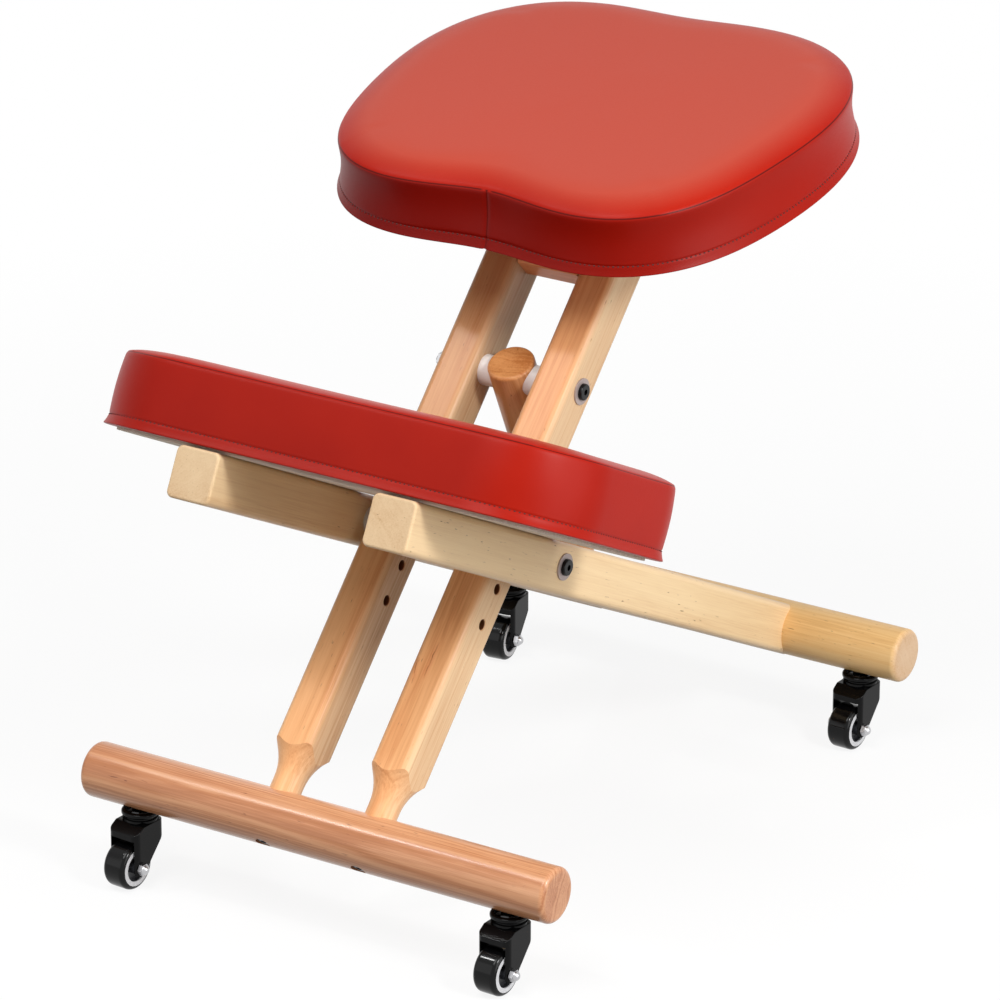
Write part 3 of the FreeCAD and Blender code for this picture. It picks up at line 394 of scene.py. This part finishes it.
def add_streak(tree, place, colour, brown, across, start, end, lean):
    """Thin dark mineral line along the grain, between two heights, with a warm halo."""
    parts = add_node(tree, "SeparateXYZ", Vector=place)
    height_only = add_node(tree, "Mapping", Vector=place, Scale=(0, 0, 1)).outputs[0]
    wobble = speckle(tree, height_only, 90.0, detail=3.0)
    line = math_node(tree, "MULTIPLY_ADD", parts.outputs["Z"], -lean)
    line.node.inputs[2].default_value = lean * start - across
    offset = math_node(tree, "ADD", parts.outputs["X"], line)
    waver = math_node(tree, "MULTIPLY", math_node(tree, "SUBTRACT", wobble, 0.5), 0.004)
    distance = math_node(tree, "ABSOLUTE", math_node(tree, "ADD", offset, waver))
    middle, reach = (start + end) / 2, (end - start) / 2
    from_middle = math_node(tree, "ABSOLUTE", math_node(tree, "SUBTRACT", parts.outputs["Z"], middle))
    fade = math_node(tree, "POWER", math_node(tree, "DIVIDE", from_middle, reach), 3.0)
    fade = math_node(tree, "SUBTRACT", 1.0, fade, True)
    thin = math_node(tree, "SUBTRACT", 1.0, math_node(tree, "DIVIDE", distance, LINE_HALF), True)
    wide = math_node(tree, "SUBTRACT", 1.0, math_node(tree, "DIVIDE", distance, HALO_HALF), True)
    broken = math_node(tree, "MULTIPLY", math_node(tree, "SUBTRACT", wobble, 0.36, True), 4.0, True)
    halo = (brown[0] * 2.6, brown[1] * 1.6, brown[2] * 0.8, 1.0)
    halo_share = math_node(tree, "MULTIPLY", math_node(tree, "MULTIPLY", wide, fade), 0.35)
    line_share = math_node(tree, "MULTIPLY", math_node(tree, "MULTIPLY", thin, fade), broken)
    colour = blend_colours(tree, halo_share, colour, halo)
    return blend_colours(tree, line_share, colour, brown)


# %% Wood of each piece
SEAT_BEAM_TURN = (44.0, 0, 0)
KNEE_BEAM_TURN = (-63.22, 0, 0)
STRUT_TURN = (-25.0, 0, 0)
ACROSS_TURN = (0, -90.0, 0)
SEAT_LEAN = 9.5
KNEE_LEAN = -26.784
SEAT_TURN = (-90.0 + SEAT_LEAN, 0, 0)
# Each wood gives a light and a dark grain colour and then a side colour. The side colour is paler partly as
# painted light from the side and partly for the grain of the side faces.
HONEY = (srgb(234, 176, 122), srgb(216, 149, 96), srgb(222, 184, 142))
AMBER = (srgb(204, 142, 86), srgb(178, 112, 60), srgb(204, 152, 104))
PALE = (srgb(227, 197, 157), srgb(214, 179, 138), srgb(246, 213, 166))
YELLOW = (srgb(250, 212, 152), srgb(238, 192, 128), srgb(226, 189, 150))
RED_BROWN = (srgb(231, 172, 129), srgb(202, 136, 93), srgb(208, 146, 104))
CROSSING = Vector((0, -0.091854, 0.299293))
HOLE_PITCH = 0.0345
across, along_beam = (Matrix.Rotation(math.radians(SEAT_BEAM_TURN[0]), 3, "X") @ CROSSING)[1:]
spare_holes = [(across, along_beam - step * HOLE_PITCH) for step in (1, 2)]
seat_beam_wood = {"figure": 0.32, "holes": spare_holes}
near_cracks = [{"across": 0.0479, "start": 0.014, "end": 0.052, "lean": 0.027},
               {"across": 0.0397, "start": 0.008, "end": 0.034, "lean": -0.19}]
woods = {
    "front_bar": beech("beech_front_bar", *RED_BROWN, ACROSS_TURN, 1, pith=(0.05, 0.045),
                       gloss=0.24, coat=0.55, figure=0.55),
    "rear_bar": beech("beech_rear_bar", *YELLOW, ACROSS_TURN, 2),
    # The seat beams are painted paler low down, where light reaches under the knee cushion, and darker high
    # up, in the shade of the seat.
    "seat_beam_left": beech("beech_seat_beam_left", *HONEY, SEAT_BEAM_TURN, 3,
                            light_and_shade_along=(-0.10, 0.36, 1.20, 0.68), **seat_beam_wood),
    "seat_beam_right": beech("beech_seat_beam_right", *HONEY, SEAT_BEAM_TURN, 4, pith=(-0.06, 0.05),
                             light_and_shade_along=(-0.10, 0.42, 1.20, 0.96), streaks=near_cracks, **seat_beam_wood),
    "knee_beam_left": beech("beech_knee_beam_left", *PALE, KNEE_BEAM_TURN, 5, figure=0.12),
    "knee_beam_right": beech("beech_knee_beam_right", *PALE, KNEE_BEAM_TURN, 6, pith=(-0.08, 0.04),
                             figure=0.12),
    "strut": beech("beech_strut", *AMBER, STRUT_TURN, 7, pith=(0.03, 0.03), figure=0.42),
    "strut_cross_dowel": beech("beech_dowel", *HONEY, ACROSS_TURN, 8),
    "top_rail": beech("beech_top_rail", *HONEY, ACROSS_TURN, 9),
    "seat_bearer_left": beech("beech_bearer_left", *HONEY, SEAT_TURN, 10),
    "seat_bearer_right": beech("beech_bearer_right", *HONEY, SEAT_TURN, 11),
}
print("wood finishes:", len(woods))

# %% [markdown]
# ## Plywood, nylon, steel and rubber
# The cushion boards are plywood, whose edge shows thin layers. The spacers and the wheel hubs are
# moulded nylon, a little translucent and never quite white. The bolts are blackened steel, the
# washers and nuts are zinc plated, the casters are coated in a thick glossy black, and the treads
# are a softer black. Fine noise in the roughness keeps each from looking like bare plastic.

# %% Board, metal and plastic
PLY_PITCH = 0.003


def plywood(name, lean):
    """Pale plywood whose layers lie square to Z after a turn about X."""
    material, tree, shader = new_material(name, Roughness=0.7)
    place = piece_coordinates(tree, rotation=(lean, 0, 0))
    height = add_node(tree, "SeparateXYZ", Vector=place).outputs["Z"]
    layers = math_node(tree, "SINE", math_node(tree, "MULTIPLY", height, 2 * math.pi / PLY_PITCH))
    long_grain = add_node(tree, "Mapping", Vector=place, Scale=(0.1, 1, 1)).outputs[0]
    grain = speckle(tree, long_grain, 500.0, detail=3.0)
    tone = math_node(tree, "ADD", math_node(tree, "MULTIPLY", layers, 0.12), grain)
    colour = ramp(tree, tone, [(0.3, srgb(206, 190, 168)), (0.7, srgb(233, 222, 206))])
    tree.links.new(colour, shader.inputs["Base Color"])
    bump(tree, shader, grain, 0.0001, strength=0.4)
    return material


def solid_finish(name, colour, roughness, spread=0.06, scale=260.0, **sockets):
    """Metal, plastic or rubber with fine variation in its colour and roughness."""
    material, tree, shader = new_material(name, **sockets)
    place = piece_coordinates(tree)
    fine = speckle(tree, place, scale, detail=4.0, roughness=0.6)
    broad = speckle(tree, place, scale * 0.12, detail=2.0)
    darker = [value * 0.82 for value in colour[:3]] + [1.0]
    tree.links.new(ramp(tree, broad, [(0.3, darker), (0.7, colour)]), shader.inputs["Base Color"])
    rough = math_node(tree, "MULTIPLY_ADD", fine, spread)
    rough.node.inputs[2].default_value = roughness - spread / 2
    tree.links.new(rough, shader.inputs["Roughness"])
    bump(tree, shader, fine, 0.00002, strength=0.3)
    return material


board_finishes = {"seat_board": plywood("plywood_seat", -SEAT_LEAN),
                  "knee_board": plywood("plywood_knee", 26.78)}
nylon = solid_finish("nylon_white", srgb(232, 228, 224), 0.42, Subsurface_Weight=0.15,
                     Subsurface_Radius=(0.002, 0.002, 0.002))


RIM_RADIUS = 0.0168


def wheel_finish(name, axle):
    """White nylon rim; within the rim's radius the hub is painted dark grey, painted shade for its recess,
    told apart by the distance from the axle.
    """
    material, tree, shader = new_material(name, Roughness=0.38)
    place = piece_coordinates(tree, shift=[-value for value in axle])
    distance = add_node(tree, "VectorMath", {"operation": "LENGTH"}, i0=place).outputs["Value"]
    # Painted shade: inside the rim's radius the hub is painted dark grey for the shade in its recess.
    edge = math_node(tree, "MULTIPLY", math_node(tree, "SUBTRACT", RIM_RADIUS, distance), 2000.0, True)
    mottle = ramp(tree, speckle(tree, place, 300.0), [(0.3, srgb(210, 210, 213)), (0.7, srgb(226, 226, 228))])
    tree.links.new(blend_colours(tree, edge, mottle, srgb(52, 53, 57)), shader.inputs["Base Color"])
    return material


axles = {joint["child"][len("wheel_"):]: joint["pos_m"] for joint in frame["joints"]
         if joint["child"].startswith("wheel_")}
wheel_rims = {corner: wheel_finish("wheel_" + corner, axle) for corner, axle in axles.items()}
black_steel = solid_finish("black_steel", srgb(10, 10, 11), 0.22, Specular_IOR_Level=0.25)
zinc = solid_finish("zinc_plate", srgb(198, 198, 200), 0.3, spread=0.14, Metallic=1.0)
washer_plate = solid_finish("washer_plate", srgb(178, 162, 158), 0.45, spread=0.1, Metallic=0.3)
polished_steel = solid_finish("polished_steel", srgb(214, 214, 216), 0.12, Metallic=1.0)
insert_metal = solid_finish("turned_brass", srgb(196, 158, 84), 0.32, Metallic=1.0)
caster_black = solid_finish("caster_black", srgb(6, 6, 7), 0.1, spread=0.05, Specular_IOR_Level=0.14)
tread_black = solid_finish("tread_black", srgb(8, 8, 9), 0.13, scale=400.0, Specular_IOR_Level=0.2)

# %% Finish of each carried-over piece
piece_finish = dict(woods)
piece_finish.update(board_finishes)
for name in ("strut_spacers", "crossing_spacers"):
    piece_finish[name] = nylon
for name in ("crossing_bolts", "strut_bolt", "bar_bolts", "seat_bolts", "knee_bolts"):
    piece_finish[name] = black_steel
for name in ("bolt_nuts", "bearer_screws", "tee_nuts"):
    piece_finish[name] = zinc
piece_finish["bolt_washers"] = washer_plate
piece_finish["threaded_inserts"] = insert_metal
piece_finish["caster_balls"] = polished_steel
caster_part_finish = {"stem": polished_steel, "cup": caster_black, "fork": caster_black, "axle": zinc,
                      "axle_nut": zinc, "tyre": tread_black}
for corner, rim in wheel_rims.items():
    piece_finish["caster_%s_hub" % corner] = rim
    for part, finish in caster_part_finish.items():
        piece_finish["caster_%s_%s" % (corner, part)] = finish
for name, finish in piece_finish.items():
    for slot in nodes[name].material_slots:
        slot.material = finish
print("pieces with a finish:", len(piece_finish))

# %% [markdown]
# ## Red imitation leather
# The covers are a coated cloth with a fine pressed grain and soft highlights. The grain is a field of
# tiny rounded cells less than a millimetre across, so it goes into the bump and the roughness, and a
# slow cloud in the colour stands for the handling marks. Three numbers that every point of a cushion
# carries paint light and shade into the colour: the first is a painted highlight that makes the top
# panel paler, the second is painted shade that makes a band a deeper red towards its front left, and
# the third draws the dark line of a seam, painted shade in its groove together with its dark thread.

# %% Leather
def leather(name):
    """Red coated cloth with a pressed grain."""
    material, tree, shader = new_material(name, Specular_IOR_Level=0.12)
    place = piece_coordinates(tree)
    cells = add_node(tree, "TexVoronoi", {"feature": "SMOOTH_F1"}, Vector=place, Scale=1150.0, Smoothness=0.6)
    cells = cells.outputs["Distance"]
    pores = speckle(tree, place, 2600.0, detail=2.0)
    clouds = speckle(tree, place, 14.0, detail=3.0)
    colour = ramp(tree, clouds, [(0.3, srgb(168, 24, 7)), (0.7, srgb(175, 28, 9))])
    # Painted highlight: the top panel is painted paler away from its seam.
    top_sheen = add_node(tree, "Attribute", {"attribute_name": "top_sheen"}).outputs["Fac"]
    colour = blend_colours(tree, top_sheen, colour, srgb(191, 73, 55))
    # Painted shade: the bands are painted a deeper red, darkest towards the front left.
    band_shade = add_node(tree, "Attribute", {"attribute_name": "band_shade"}).outputs["Fac"]
    colour = blend_colours(tree, band_shade, colour, srgb(108, 8, 3))
    # Painted shade: a dark line drawn along the seams and the band's join, for the shade in their grooves
    # together with the dark of their thread.
    seam_shade = add_node(tree, "Attribute", {"attribute_name": "seam_shade"}).outputs["Fac"]
    line = math_node(tree, "MULTIPLY", math_node(tree, "SUBTRACT", seam_shade, 0.42, True), 2.0)
    colour = blend_colours(tree, line, colour, srgb(74, 4, 2))
    tree.links.new(colour, shader.inputs["Base Color"])
    rough = math_node(tree, "MULTIPLY_ADD", cells, 0.14)
    rough.node.inputs[2].default_value = 0.32
    tree.links.new(rough, shader.inputs["Roughness"])
    grain = math_node(tree, "ADD", cells, math_node(tree, "MULTIPLY", pores, 0.35))
    bump(tree, shader, grain, 0.00012, strength=0.3)
    return material


red_leather = leather("red_leather")
thread, tree, shader = new_material("red_thread", Roughness=0.65)
twist = piece_coordinates(tree)
shade = ramp(tree, speckle(tree, twist, 3000.0), [(0.3, srgb(52, 3, 2)), (0.7, srgb(80, 6, 4))])
tree.links.new(shade, shader.inputs["Base Color"])
print("leather and thread ready")

# %% [markdown]
# ## Cushion blanks
# Each cushion is a boxed pad: a top panel sewn to an upright band, and the band's hem turned in
# under the board. A grid makes a better blank than a disc, because its cells stay even and there
# is no pole in the middle for the light to catch. Its square rings are pushed out to the outline,
# closer together near the seam, and then the edge is extruded down row by row for the band. The
# seat's outline is a sum of waves round the middle. It is fuller at the rear right than at the rear
# left, as in the photograph, and its hem is let out at the rear left so that it covers the board.

# %% Outlines and places
SEAT_SEAM = (213.7, 11.1, -15.0, 0.3, -14.8, 2.3, -1.4)
SEAT_HEM = (219.1, 5.0, -11.2, 3.8, -10.3, 3.0, -1.2)
REAR_SKEW, REAR_DRAWN_IN = 7.0, 5.0
HEM_CORNER, HEM_CORNER_TURN = 11.0, -1.0


def seat_outline(turn, low):
    """Point of the seat's outline in mm; turn 0 is the rear, low is 0 at the seam and 1 at the hem."""
    points = []
    for harmonics, middle, lean, corner in ((SEAT_SEAM, -4.8, 0.0, 0.0), (SEAT_HEM, 1.7, 2.0, HEM_CORNER)):
        radius = sum(amount * math.cos(order * turn) for order, amount in enumerate(harmonics))
        radius += lean * math.sin(turn)
        rear = ((1 + math.cos(turn)) / 2) ** 2
        radius += rear * (REAR_SKEW * math.sin(2 * turn) - REAR_DRAWN_IN)
        radius += corner * max(math.cos(turn - HEM_CORNER_TURN), 0.0) ** 8
        points.append(Vector((radius * math.sin(turn), middle + radius * math.cos(turn))))
    return points[0].lerp(points[1], low)


KNEE_PAD_ASIDE = 1.5


def knee_outline(turn, low):
    """Point of the knee cushion's outline in mm: a rectangle whose corners are rounder in front."""
    half_width, half_depth = 240.0 + 2.0 * low, 120.0 + 2.5 * low
    corner = (87.0 if math.cos(turn) < 0 else 50.0) + 2.5 * low
    way = Vector((abs(math.sin(turn)), abs(math.cos(turn))))
    middle = Vector((half_width - corner, half_depth - corner))
    side = half_width / max(way.x, 1e-6)
    end = half_depth / max(way.y, 1e-6)
    if side * way.y <= middle.y:
        radius = side
    elif end * way.x <= middle.x:
        radius = end
    else:
        reach = way.dot(middle)
        radius = reach + math.sqrt(reach ** 2 - middle.length_squared + corner ** 2)
    return Vector((radius * math.sin(turn) + KNEE_PAD_ASIDE, radius * math.cos(turn)))


def tilted_place(back, height, lean):
    """Frame of a cushion, with Z along its normal and its zero at the cover's lower edge."""
    return Matrix.Translation((0, back, height)) @ Matrix.Rotation(math.radians(lean), 4, "X")


cushions = {
    # The last number of each cushion is how strongly its band is painted darker, a painted shade.
    "seat": {"outline": seat_outline, "place": tilted_place(0.15118, 0.57823, SEAT_LEAN),
             "cells": (64, 56), "half": (216, 190), "band": 52.3, "crown": 12.0,
             "shoulder": 34.0, "waist": -2.4, "band_shade": 0.9},
    "knee": {"outline": knee_outline, "place": tilted_place(-0.20801, 0.38425, KNEE_LEAN),
             "cells": (84, 44), "half": (240, 122), "band": 65.0, "crown": 5.0,
             "shoulder": 26.0, "waist": 1.5, "band_shade": 0.28},
}
STITCH_HEIGHT = 9.0
LIP = 3.0
HEM_ROWS = (11.0, 9.9, 9.0, 8.1, 6.4, 4.2, 2.2, 1.0, 0.3, -0.5)
BAND_SHADE_TURN = -2.6


def runs_round(kind):
    """Length in mm along the stitch row from the join in front, for turns from -pi to pi."""
    steps = 720
    low = 1 - STITCH_HEIGHT / kind["band"]
    turns = [-math.pi + 2 * math.pi * step / steps for step in range(steps + 1)]
    points = [kind["outline"](turn, low) for turn in turns]
    runs = [0.0]
    for first, second in zip(points, points[1:]):
        runs.append(runs[-1] + (second - first).length)
    return turns, runs


for name, kind in cushions.items():
    kind["turns"], kind["runs"] = runs_round(kind)
    print(name, "cushion is", round(kind["runs"][-1]), "mm round")


# %% Blank of a cushion
def band_offset(kind, height):
    """How far the band stands out from its straight line, in mm: drawn in at the waist, out at the hem."""
    if height >= STITCH_HEIGHT:
        share = (height - STITCH_HEIGHT) / (kind["band"] - STITCH_HEIGHT)
        return kind["waist"] * math.sin(math.pi * share) - 0.5
    share = 1 - max(height, 0.0) / STITCH_HEIGHT
    return LIP * share ** 1.6 - 0.5 - (1.6 if height < 0 else 0.0)


def crown_height(kind, inset):
    """Height of the top panel above the seam, in mm, at a distance from the seam."""
    share = min(inset / kind["shoulder"], 1.0)
    return kind["crown"] * (1 - (1 - share) ** 2.3) + 1.2 * min(inset / 160.0, 1.0)


def extrude_row(form, loop):
    """Extrude an open edge loop and give its new edges and vertices."""
    grown = bmesh.ops.extrude_edge_only(form, edges=loop)["geom"]
    verts = [item for item in grown if isinstance(item, bmesh.types.BMVert)]
    fresh = set(verts)
    edges = [item for item in grown if isinstance(item, bmesh.types.BMEdge)
             and item.verts[0] in fresh and item.verts[1] in fresh]
    return edges, verts


def cushion_blank(kind):
    """Shell of a cushion in its own frame, in mm, whose vertices carry their turn and their height."""
    form = bmesh.new()
    columns, rows = kind["cells"]
    bmesh.ops.create_grid(form, x_segments=columns, y_segments=rows, size=1.0)
    turn_of = form.verts.layers.float.new("turn")
    level_of = form.verts.layers.float.new("level")
    top_sheen_of = form.verts.layers.float.new("top_sheen")
    band_shade_of = form.verts.layers.float.new("band_shade")
    half_width, half_depth = kind["half"]
    for vertex in form.verts:
        ring = max(abs(vertex.co.x), abs(vertex.co.y))
        turn = math.atan2(vertex.co.x * half_width, vertex.co.y * half_depth) if ring > 0 else 0.0
        edge = kind["outline"](turn, 0.0)
        out = 1 - (1 - min(ring, 1.0)) ** 1.35
        inset = (1 - out) * edge.length
        vertex.co = (edge.x * out, edge.y * out, kind["band"] + crown_height(kind, inset))
        vertex[turn_of], vertex[level_of] = turn, kind["band"] + inset
        # Painted highlight on the top panel, growing away from the seam.
        vertex[top_sheen_of] = min(max(inset - 3.0, 0.0) / 24.0, 1.0)
    loop = [edge for edge in form.edges if edge.is_boundary]
    upper = [kind["band"] - 1.3]
    while upper[-1] > 17.0:
        upper.append(upper[-1] - min(6.5, upper[-1] - HEM_ROWS[0]))
    for height in upper + list(HEM_ROWS):
        loop, verts = extrude_row(form, loop)
        for vertex in verts:
            edge = kind["outline"](vertex[turn_of], 1 - height / kind["band"])
            edge += edge.normalized() * band_offset(kind, height)
            vertex.co = (edge.x, edge.y, height)
            vertex[level_of], vertex[top_sheen_of] = height, 0.0
            # Painted shade on the band, darkest at the front left.
            vertex[band_shade_of] = kind["band_shade"] * (0.5 + 0.5 * math.cos(vertex[turn_of] - BAND_SHADE_TURN))
    bmesh.ops.recalc_face_normals(form, faces=form.faces)
    return form


for name, kind in cushions.items():
    form = cushion_blank(kind)
    print(name, "blank:", len(form.verts), "points,", len(form.faces), "faces")
    kind["form"] = form

# %% [markdown]
# ## Air in the cushions
# A drawn blank looks drawn: every curve is the same. Cloth with air pressure inside finds the
# small swells and pulls that a filled cover has. The seam and the hem are pinned, because thread
# and staples hold them, gravity is off, and each point may move only a few millimetres, so the
# cushion stays the size of its board.

# %% Swell a cushion
PRESSURE = 4.0
CLOTH_FRAMES = 20
SMOOTHINGS = 5
TOP_CAP, BAND_CAP = 1.4, 1.2


def swell(pad, pins, caps):
    """Run cloth pressure on a blank and keep a capped share of how far each point moves."""
    group = pad.vertex_groups.new(name="pins")
    for index, weight in enumerate(pins):
        group.add([index], weight, "REPLACE")
    cloth = pad.modifiers.new("swell", "CLOTH")
    cloth.settings.quality = 6
    cloth.settings.mass = 0.35
    cloth.settings.tension_stiffness = 25
    cloth.settings.compression_stiffness = 18
    cloth.settings.shear_stiffness = 8
    cloth.settings.bending_stiffness = 1.2
    cloth.settings.use_pressure = True
    cloth.settings.uniform_pressure_force = PRESSURE
    cloth.settings.effector_weights.gravity = 0
    cloth.settings.vertex_group_mass = "pins"
    cloth.collision_settings.use_collision = False
    cloth.point_cache.frame_end = CLOTH_FRAMES
    for step in range(1, CLOTH_FRAMES + 1):
        bpy.context.scene.frame_set(step)
    swollen = pad.evaluated_get(bpy.context.evaluated_depsgraph_get()).data
    moves = [new.co - old.co for new, old in zip(swollen.vertices, pad.data.vertices)]
    pad.modifiers.remove(cloth)
    pad.vertex_groups.remove(group)
    bpy.context.scene.frame_set(1)
    beside = [[] for _ in moves]
    for edge in pad.data.edges:
        first, second = edge.vertices
        beside[first].append(second)
        beside[second].append(first)
    for _ in range(SMOOTHINGS):
        moves = [(move + sum((moves[other] for other in near), Vector())) / (len(near) + 1)
                 for move, near in zip(moves, beside)]
    for vertex, move, cap in zip(pad.data.vertices, moves, caps):
        if cap > 0:
            vertex.co += move * (cap / (cap + move.length))
    return max(move.length for move in moves)


def lay_down(kind, name):
    """Make the cushion's object from its blank, in metres and in its place."""
    form = kind["form"]
    level_of = form.verts.layers.float["level"]
    kind["levels"] = [vertex[level_of] for vertex in form.verts]
    bmesh.ops.scale(form, vec=(MM, MM, MM), verts=form.verts)
    bmesh.ops.transform(form, matrix=kind["place"], verts=form.verts)
    mesh = bpy.data.meshes.new(name)
    form.to_mesh(mesh)
    form.free()
    pad = bpy.data.objects.new(name, mesh)
    bpy.context.scene.collection.objects.link(pad)
    return pad


for name, kind in cushions.items():
    pad = kind["pad"] = lay_down(kind, name + "_cushion")
    band = kind["band"]
    pins, caps = [], []
    for level in kind["levels"]:
        held = abs(level - band) < 0.1 or level < STITCH_HEIGHT + 1.5
        pins.append(1.0 if held else 0.0)
        cap = TOP_CAP if level > band else BAND_CAP
        caps.append(0.0 if held else cap * MM)
    furthest = swell(pad, pins, caps)
    print(name, "cushion swells by up to", round(furthest / MM, 1), "mm before the cap")

# %% [markdown]
# ## Seams, hem and board
# The thread pulls the leather in along the seam, along the stitch row above the hem and along the
# upright join of the band, so those rows of points move inwards. This comes after the cloth step,
# which would smooth them away. The hem turns in under the cover and meets the side of the board,
# whose place is read from the model with a ray for each point, and then closes over the board.

# %% Pull the seams in
SEAM_PULL, STITCH_PULL, JOIN_PULL = 1.8, 0.9, 2.0
JOIN_HALF = 1.8


def pull(verts, depth):
    """Move vertices inwards along their normals, by a depth in mm."""
    for vertex, normal in [(vertex, vertex.normal.copy()) for vertex in verts]:
        vertex.co -= normal * depth * MM


def join_cut(form, place, band, side):
    """Cut two lines beside the band's upright join, and give the join's own vertices."""
    inverse = place.inverted()

    def on_band(face):
        middle = inverse @ face.calc_center_median()
        return middle.z < band * MM and side * middle.y > 0 and abs(middle.x) < 12 * MM

    for offset in (-JOIN_HALF, JOIN_HALF):
        faces = [face for face in form.faces if on_band(face)]
        edges = dict.fromkeys(edge for face in faces for edge in face.edges)
        verts = dict.fromkeys(vertex for face in faces for vertex in face.verts)
        bmesh.ops.bisect_plane(form, geom=list(verts) + list(edges) + faces, dist=0.00001,
                               plane_co=place @ Vector((offset * MM, 0, 0)), plane_no=(1, 0, 0))
    found = []
    for vertex in form.verts:
        local = inverse @ vertex.co
        if abs(local.x) < 0.3 * MM and side * local.y > 0 and local.z < (band - 0.8) * MM:
            found.append(vertex)
    return found


TUCK_ROWS = ((0.35, -0.6), (0.8, -0.3), (1.0, 1.2), (1.0, 9.4))
USUAL_GAP = 0.009


def close_on_board(form, place, board, loop):
    """Turn the hem in against the board's side and close the cushion over the board."""
    tree = BVHTree.FromPolygons([vertex.co for vertex in board.data.vertices],
                                [polygon.vertices for polygon in board.data.polygons])
    inverse = place.inverted()
    starts = None
    for share, height in TUCK_ROWS:
        loop, verts = extrude_row(form, loop)
        if starts is None:
            starts = [(inverse @ vertex.co) for vertex in verts]
            tucks = []
            for start in starts:
                origin = Vector((start.x, start.y, 0.5 * MM))
                way = Vector((-start.x, -start.y, 0)).normalized()
                hit = tree.ray_cast(place @ origin, place.to_3x3() @ way)
                gap = hit[3] if hit[0] else USUAL_GAP
                tucks.append(origin + way * (gap - 0.3 * MM))
        for vertex, start, tuck in zip(verts, starts, tucks):
            point = start.lerp(tuck, share)
            vertex.co = place @ Vector((point.x, point.y, height * MM))
    bmesh.ops.triangle_fill(form, edges=loop, use_beauty=True)


boards = {"seat": "seat_board", "knee": "knee_board"}
for name, kind in cushions.items():
    pad, band = kind["pad"], kind["band"]
    form = bmesh.new()
    form.from_mesh(pad.data)
    form.normal_update()
    level_of = form.verts.layers.float["level"]
    seam_shade_of = form.verts.layers.float.new("seam_shade")
    seam = [vertex for vertex in form.verts if abs(vertex[level_of] - band) < 0.05]
    stitched = [vertex for vertex in form.verts if abs(vertex[level_of] - STITCH_HEIGHT) < 0.05]
    pull(seam, SEAM_PULL)
    pull(stitched, STITCH_PULL)
    join = join_cut(form, kind["place"], band, -1 if name == "seat" else 1)
    form.normal_update()
    pull(join, JOIN_PULL)
    # Painted shade: the join and the seam carry a dark line in the colour, for the shade in their grooves and
    # the dark of their thread.
    for vertex in join:
        vertex[seam_shade_of] = 0.75
    for vertex in seam:
        vertex[seam_shade_of] = 1.0
    edge_loop = [edge for edge in form.edges if edge.is_boundary]
    close_on_board(form, kind["place"], nodes[boards[name]], edge_loop)
    bmesh.ops.recalc_face_normals(form, faces=form.faces)
    for face in form.faces:
        face.smooth = True
    form.to_mesh(pad.data)
    form.free()
    finer = pad.modifiers.new("finer", "SUBSURF")
    finer.levels = finer.render_levels = 1
    pad.data.materials.append(red_leather)
    print(name, "cushion:", len(pad.data.polygons), "faces,", len(join), "points in its join")

# %% [markdown]
# ## Stitches
# A row of stitches runs round each band above the hem. Real thread lies in short, slightly sunk
# bars with a hole at both ends, so every stitch is its own small piece. Drawing them as a texture
# would be flat at this distance. They are set at equal steps along the row, each on the nearest
# point of the finished leather, so they follow every swell.

# %% Stitch rows
STITCH_PITCH = 4.3
STITCH_REACH = 1.3
STITCH_SIZE = (1.05, 0.75, 0.5)


def stitch_row(kind, name):
    """One mesh of small thread bars along the stitch row of a cushion."""
    pad, place, runs, turns = kind["pad"], kind["place"], kind["runs"], kind["turns"]
    skin = pad.evaluated_get(bpy.context.evaluated_depsgraph_get()).to_mesh()
    tree = BVHTree.FromPolygons([vertex.co for vertex in skin.vertices],
                                [polygon.vertices for polygon in skin.polygons])
    total = runs[-1]
    count = round(total / STITCH_PITCH)
    low = 1 - STITCH_HEIGHT / kind["band"]
    bead = bmesh.new()
    bmesh.ops.create_uvsphere(bead, u_segments=6, v_segments=5, radius=1.0)
    stitch = bpy.data.meshes.new("stitch")
    bead.to_mesh(stitch)
    bead.free()
    form = bmesh.new()
    position = 0
    for step in range(count):
        run = (step + 0.5) * total / count
        while runs[position + 1] < run:
            position += 1
        ends = []
        for reach in (-STITCH_REACH, STITCH_REACH):
            share = (run + reach - runs[position]) / (runs[position + 1] - runs[position])
            turn = turns[position] + share * (turns[position + 1] - turns[position])
            edge = kind["outline"](turn, low)
            point = place @ (Vector((edge.x, edge.y, STITCH_HEIGHT)) * MM)
            spot, normal = tree.find_nearest(point)[:2]
            ends.append((spot, normal))
        middle = (ends[0][0] + ends[1][0]) / 2 + (ends[0][1] + ends[1][1]) * 0.5 * 0.05 * MM
        along = (ends[1][0] - ends[0][0]).normalized()
        out = ends[0][1]
        side = along.cross(out).normalized()
        turn_matrix = Matrix((along, side, along.cross(side))).transposed().to_4x4()
        size = Matrix.Diagonal([length * MM for length in STITCH_SIZE] + [1.0])
        piece = stitch.copy()
        piece.transform(Matrix.Translation(middle) @ turn_matrix @ size)
        form.from_mesh(piece)
        bpy.data.meshes.remove(piece)
    for face in form.faces:
        face.smooth = True
    mesh = bpy.data.meshes.new(name)
    form.to_mesh(mesh)
    form.free()
    row = bpy.data.objects.new(name, mesh)
    bpy.context.scene.collection.objects.link(row)
    row.data.materials.append(thread)
    return row, count


for name, kind in cushions.items():
    row, count = stitch_row(kind, name + "_stitches")
    pad = kind["pad"]
    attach(pad, "frame")
    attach(row, "frame")
    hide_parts(name + "_cover", name + "_foam")
    print(name, "stitches:", count)

# %% [markdown]
# ## Sizes
# The finished chair must still be as large as the measured model, apart from a few millimetres of
# leather. How far it grows at each side is printed, axis by axis.

# %% Compare the sizes and finish
chair_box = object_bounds()
for axis, low_model, high_model, low, high in zip("XYZ", *model_box, *chair_box):
    print(axis, "grows by", round((low_model - low) / MM, 1), "and", round((high - high_model) / MM, 1), "mm")
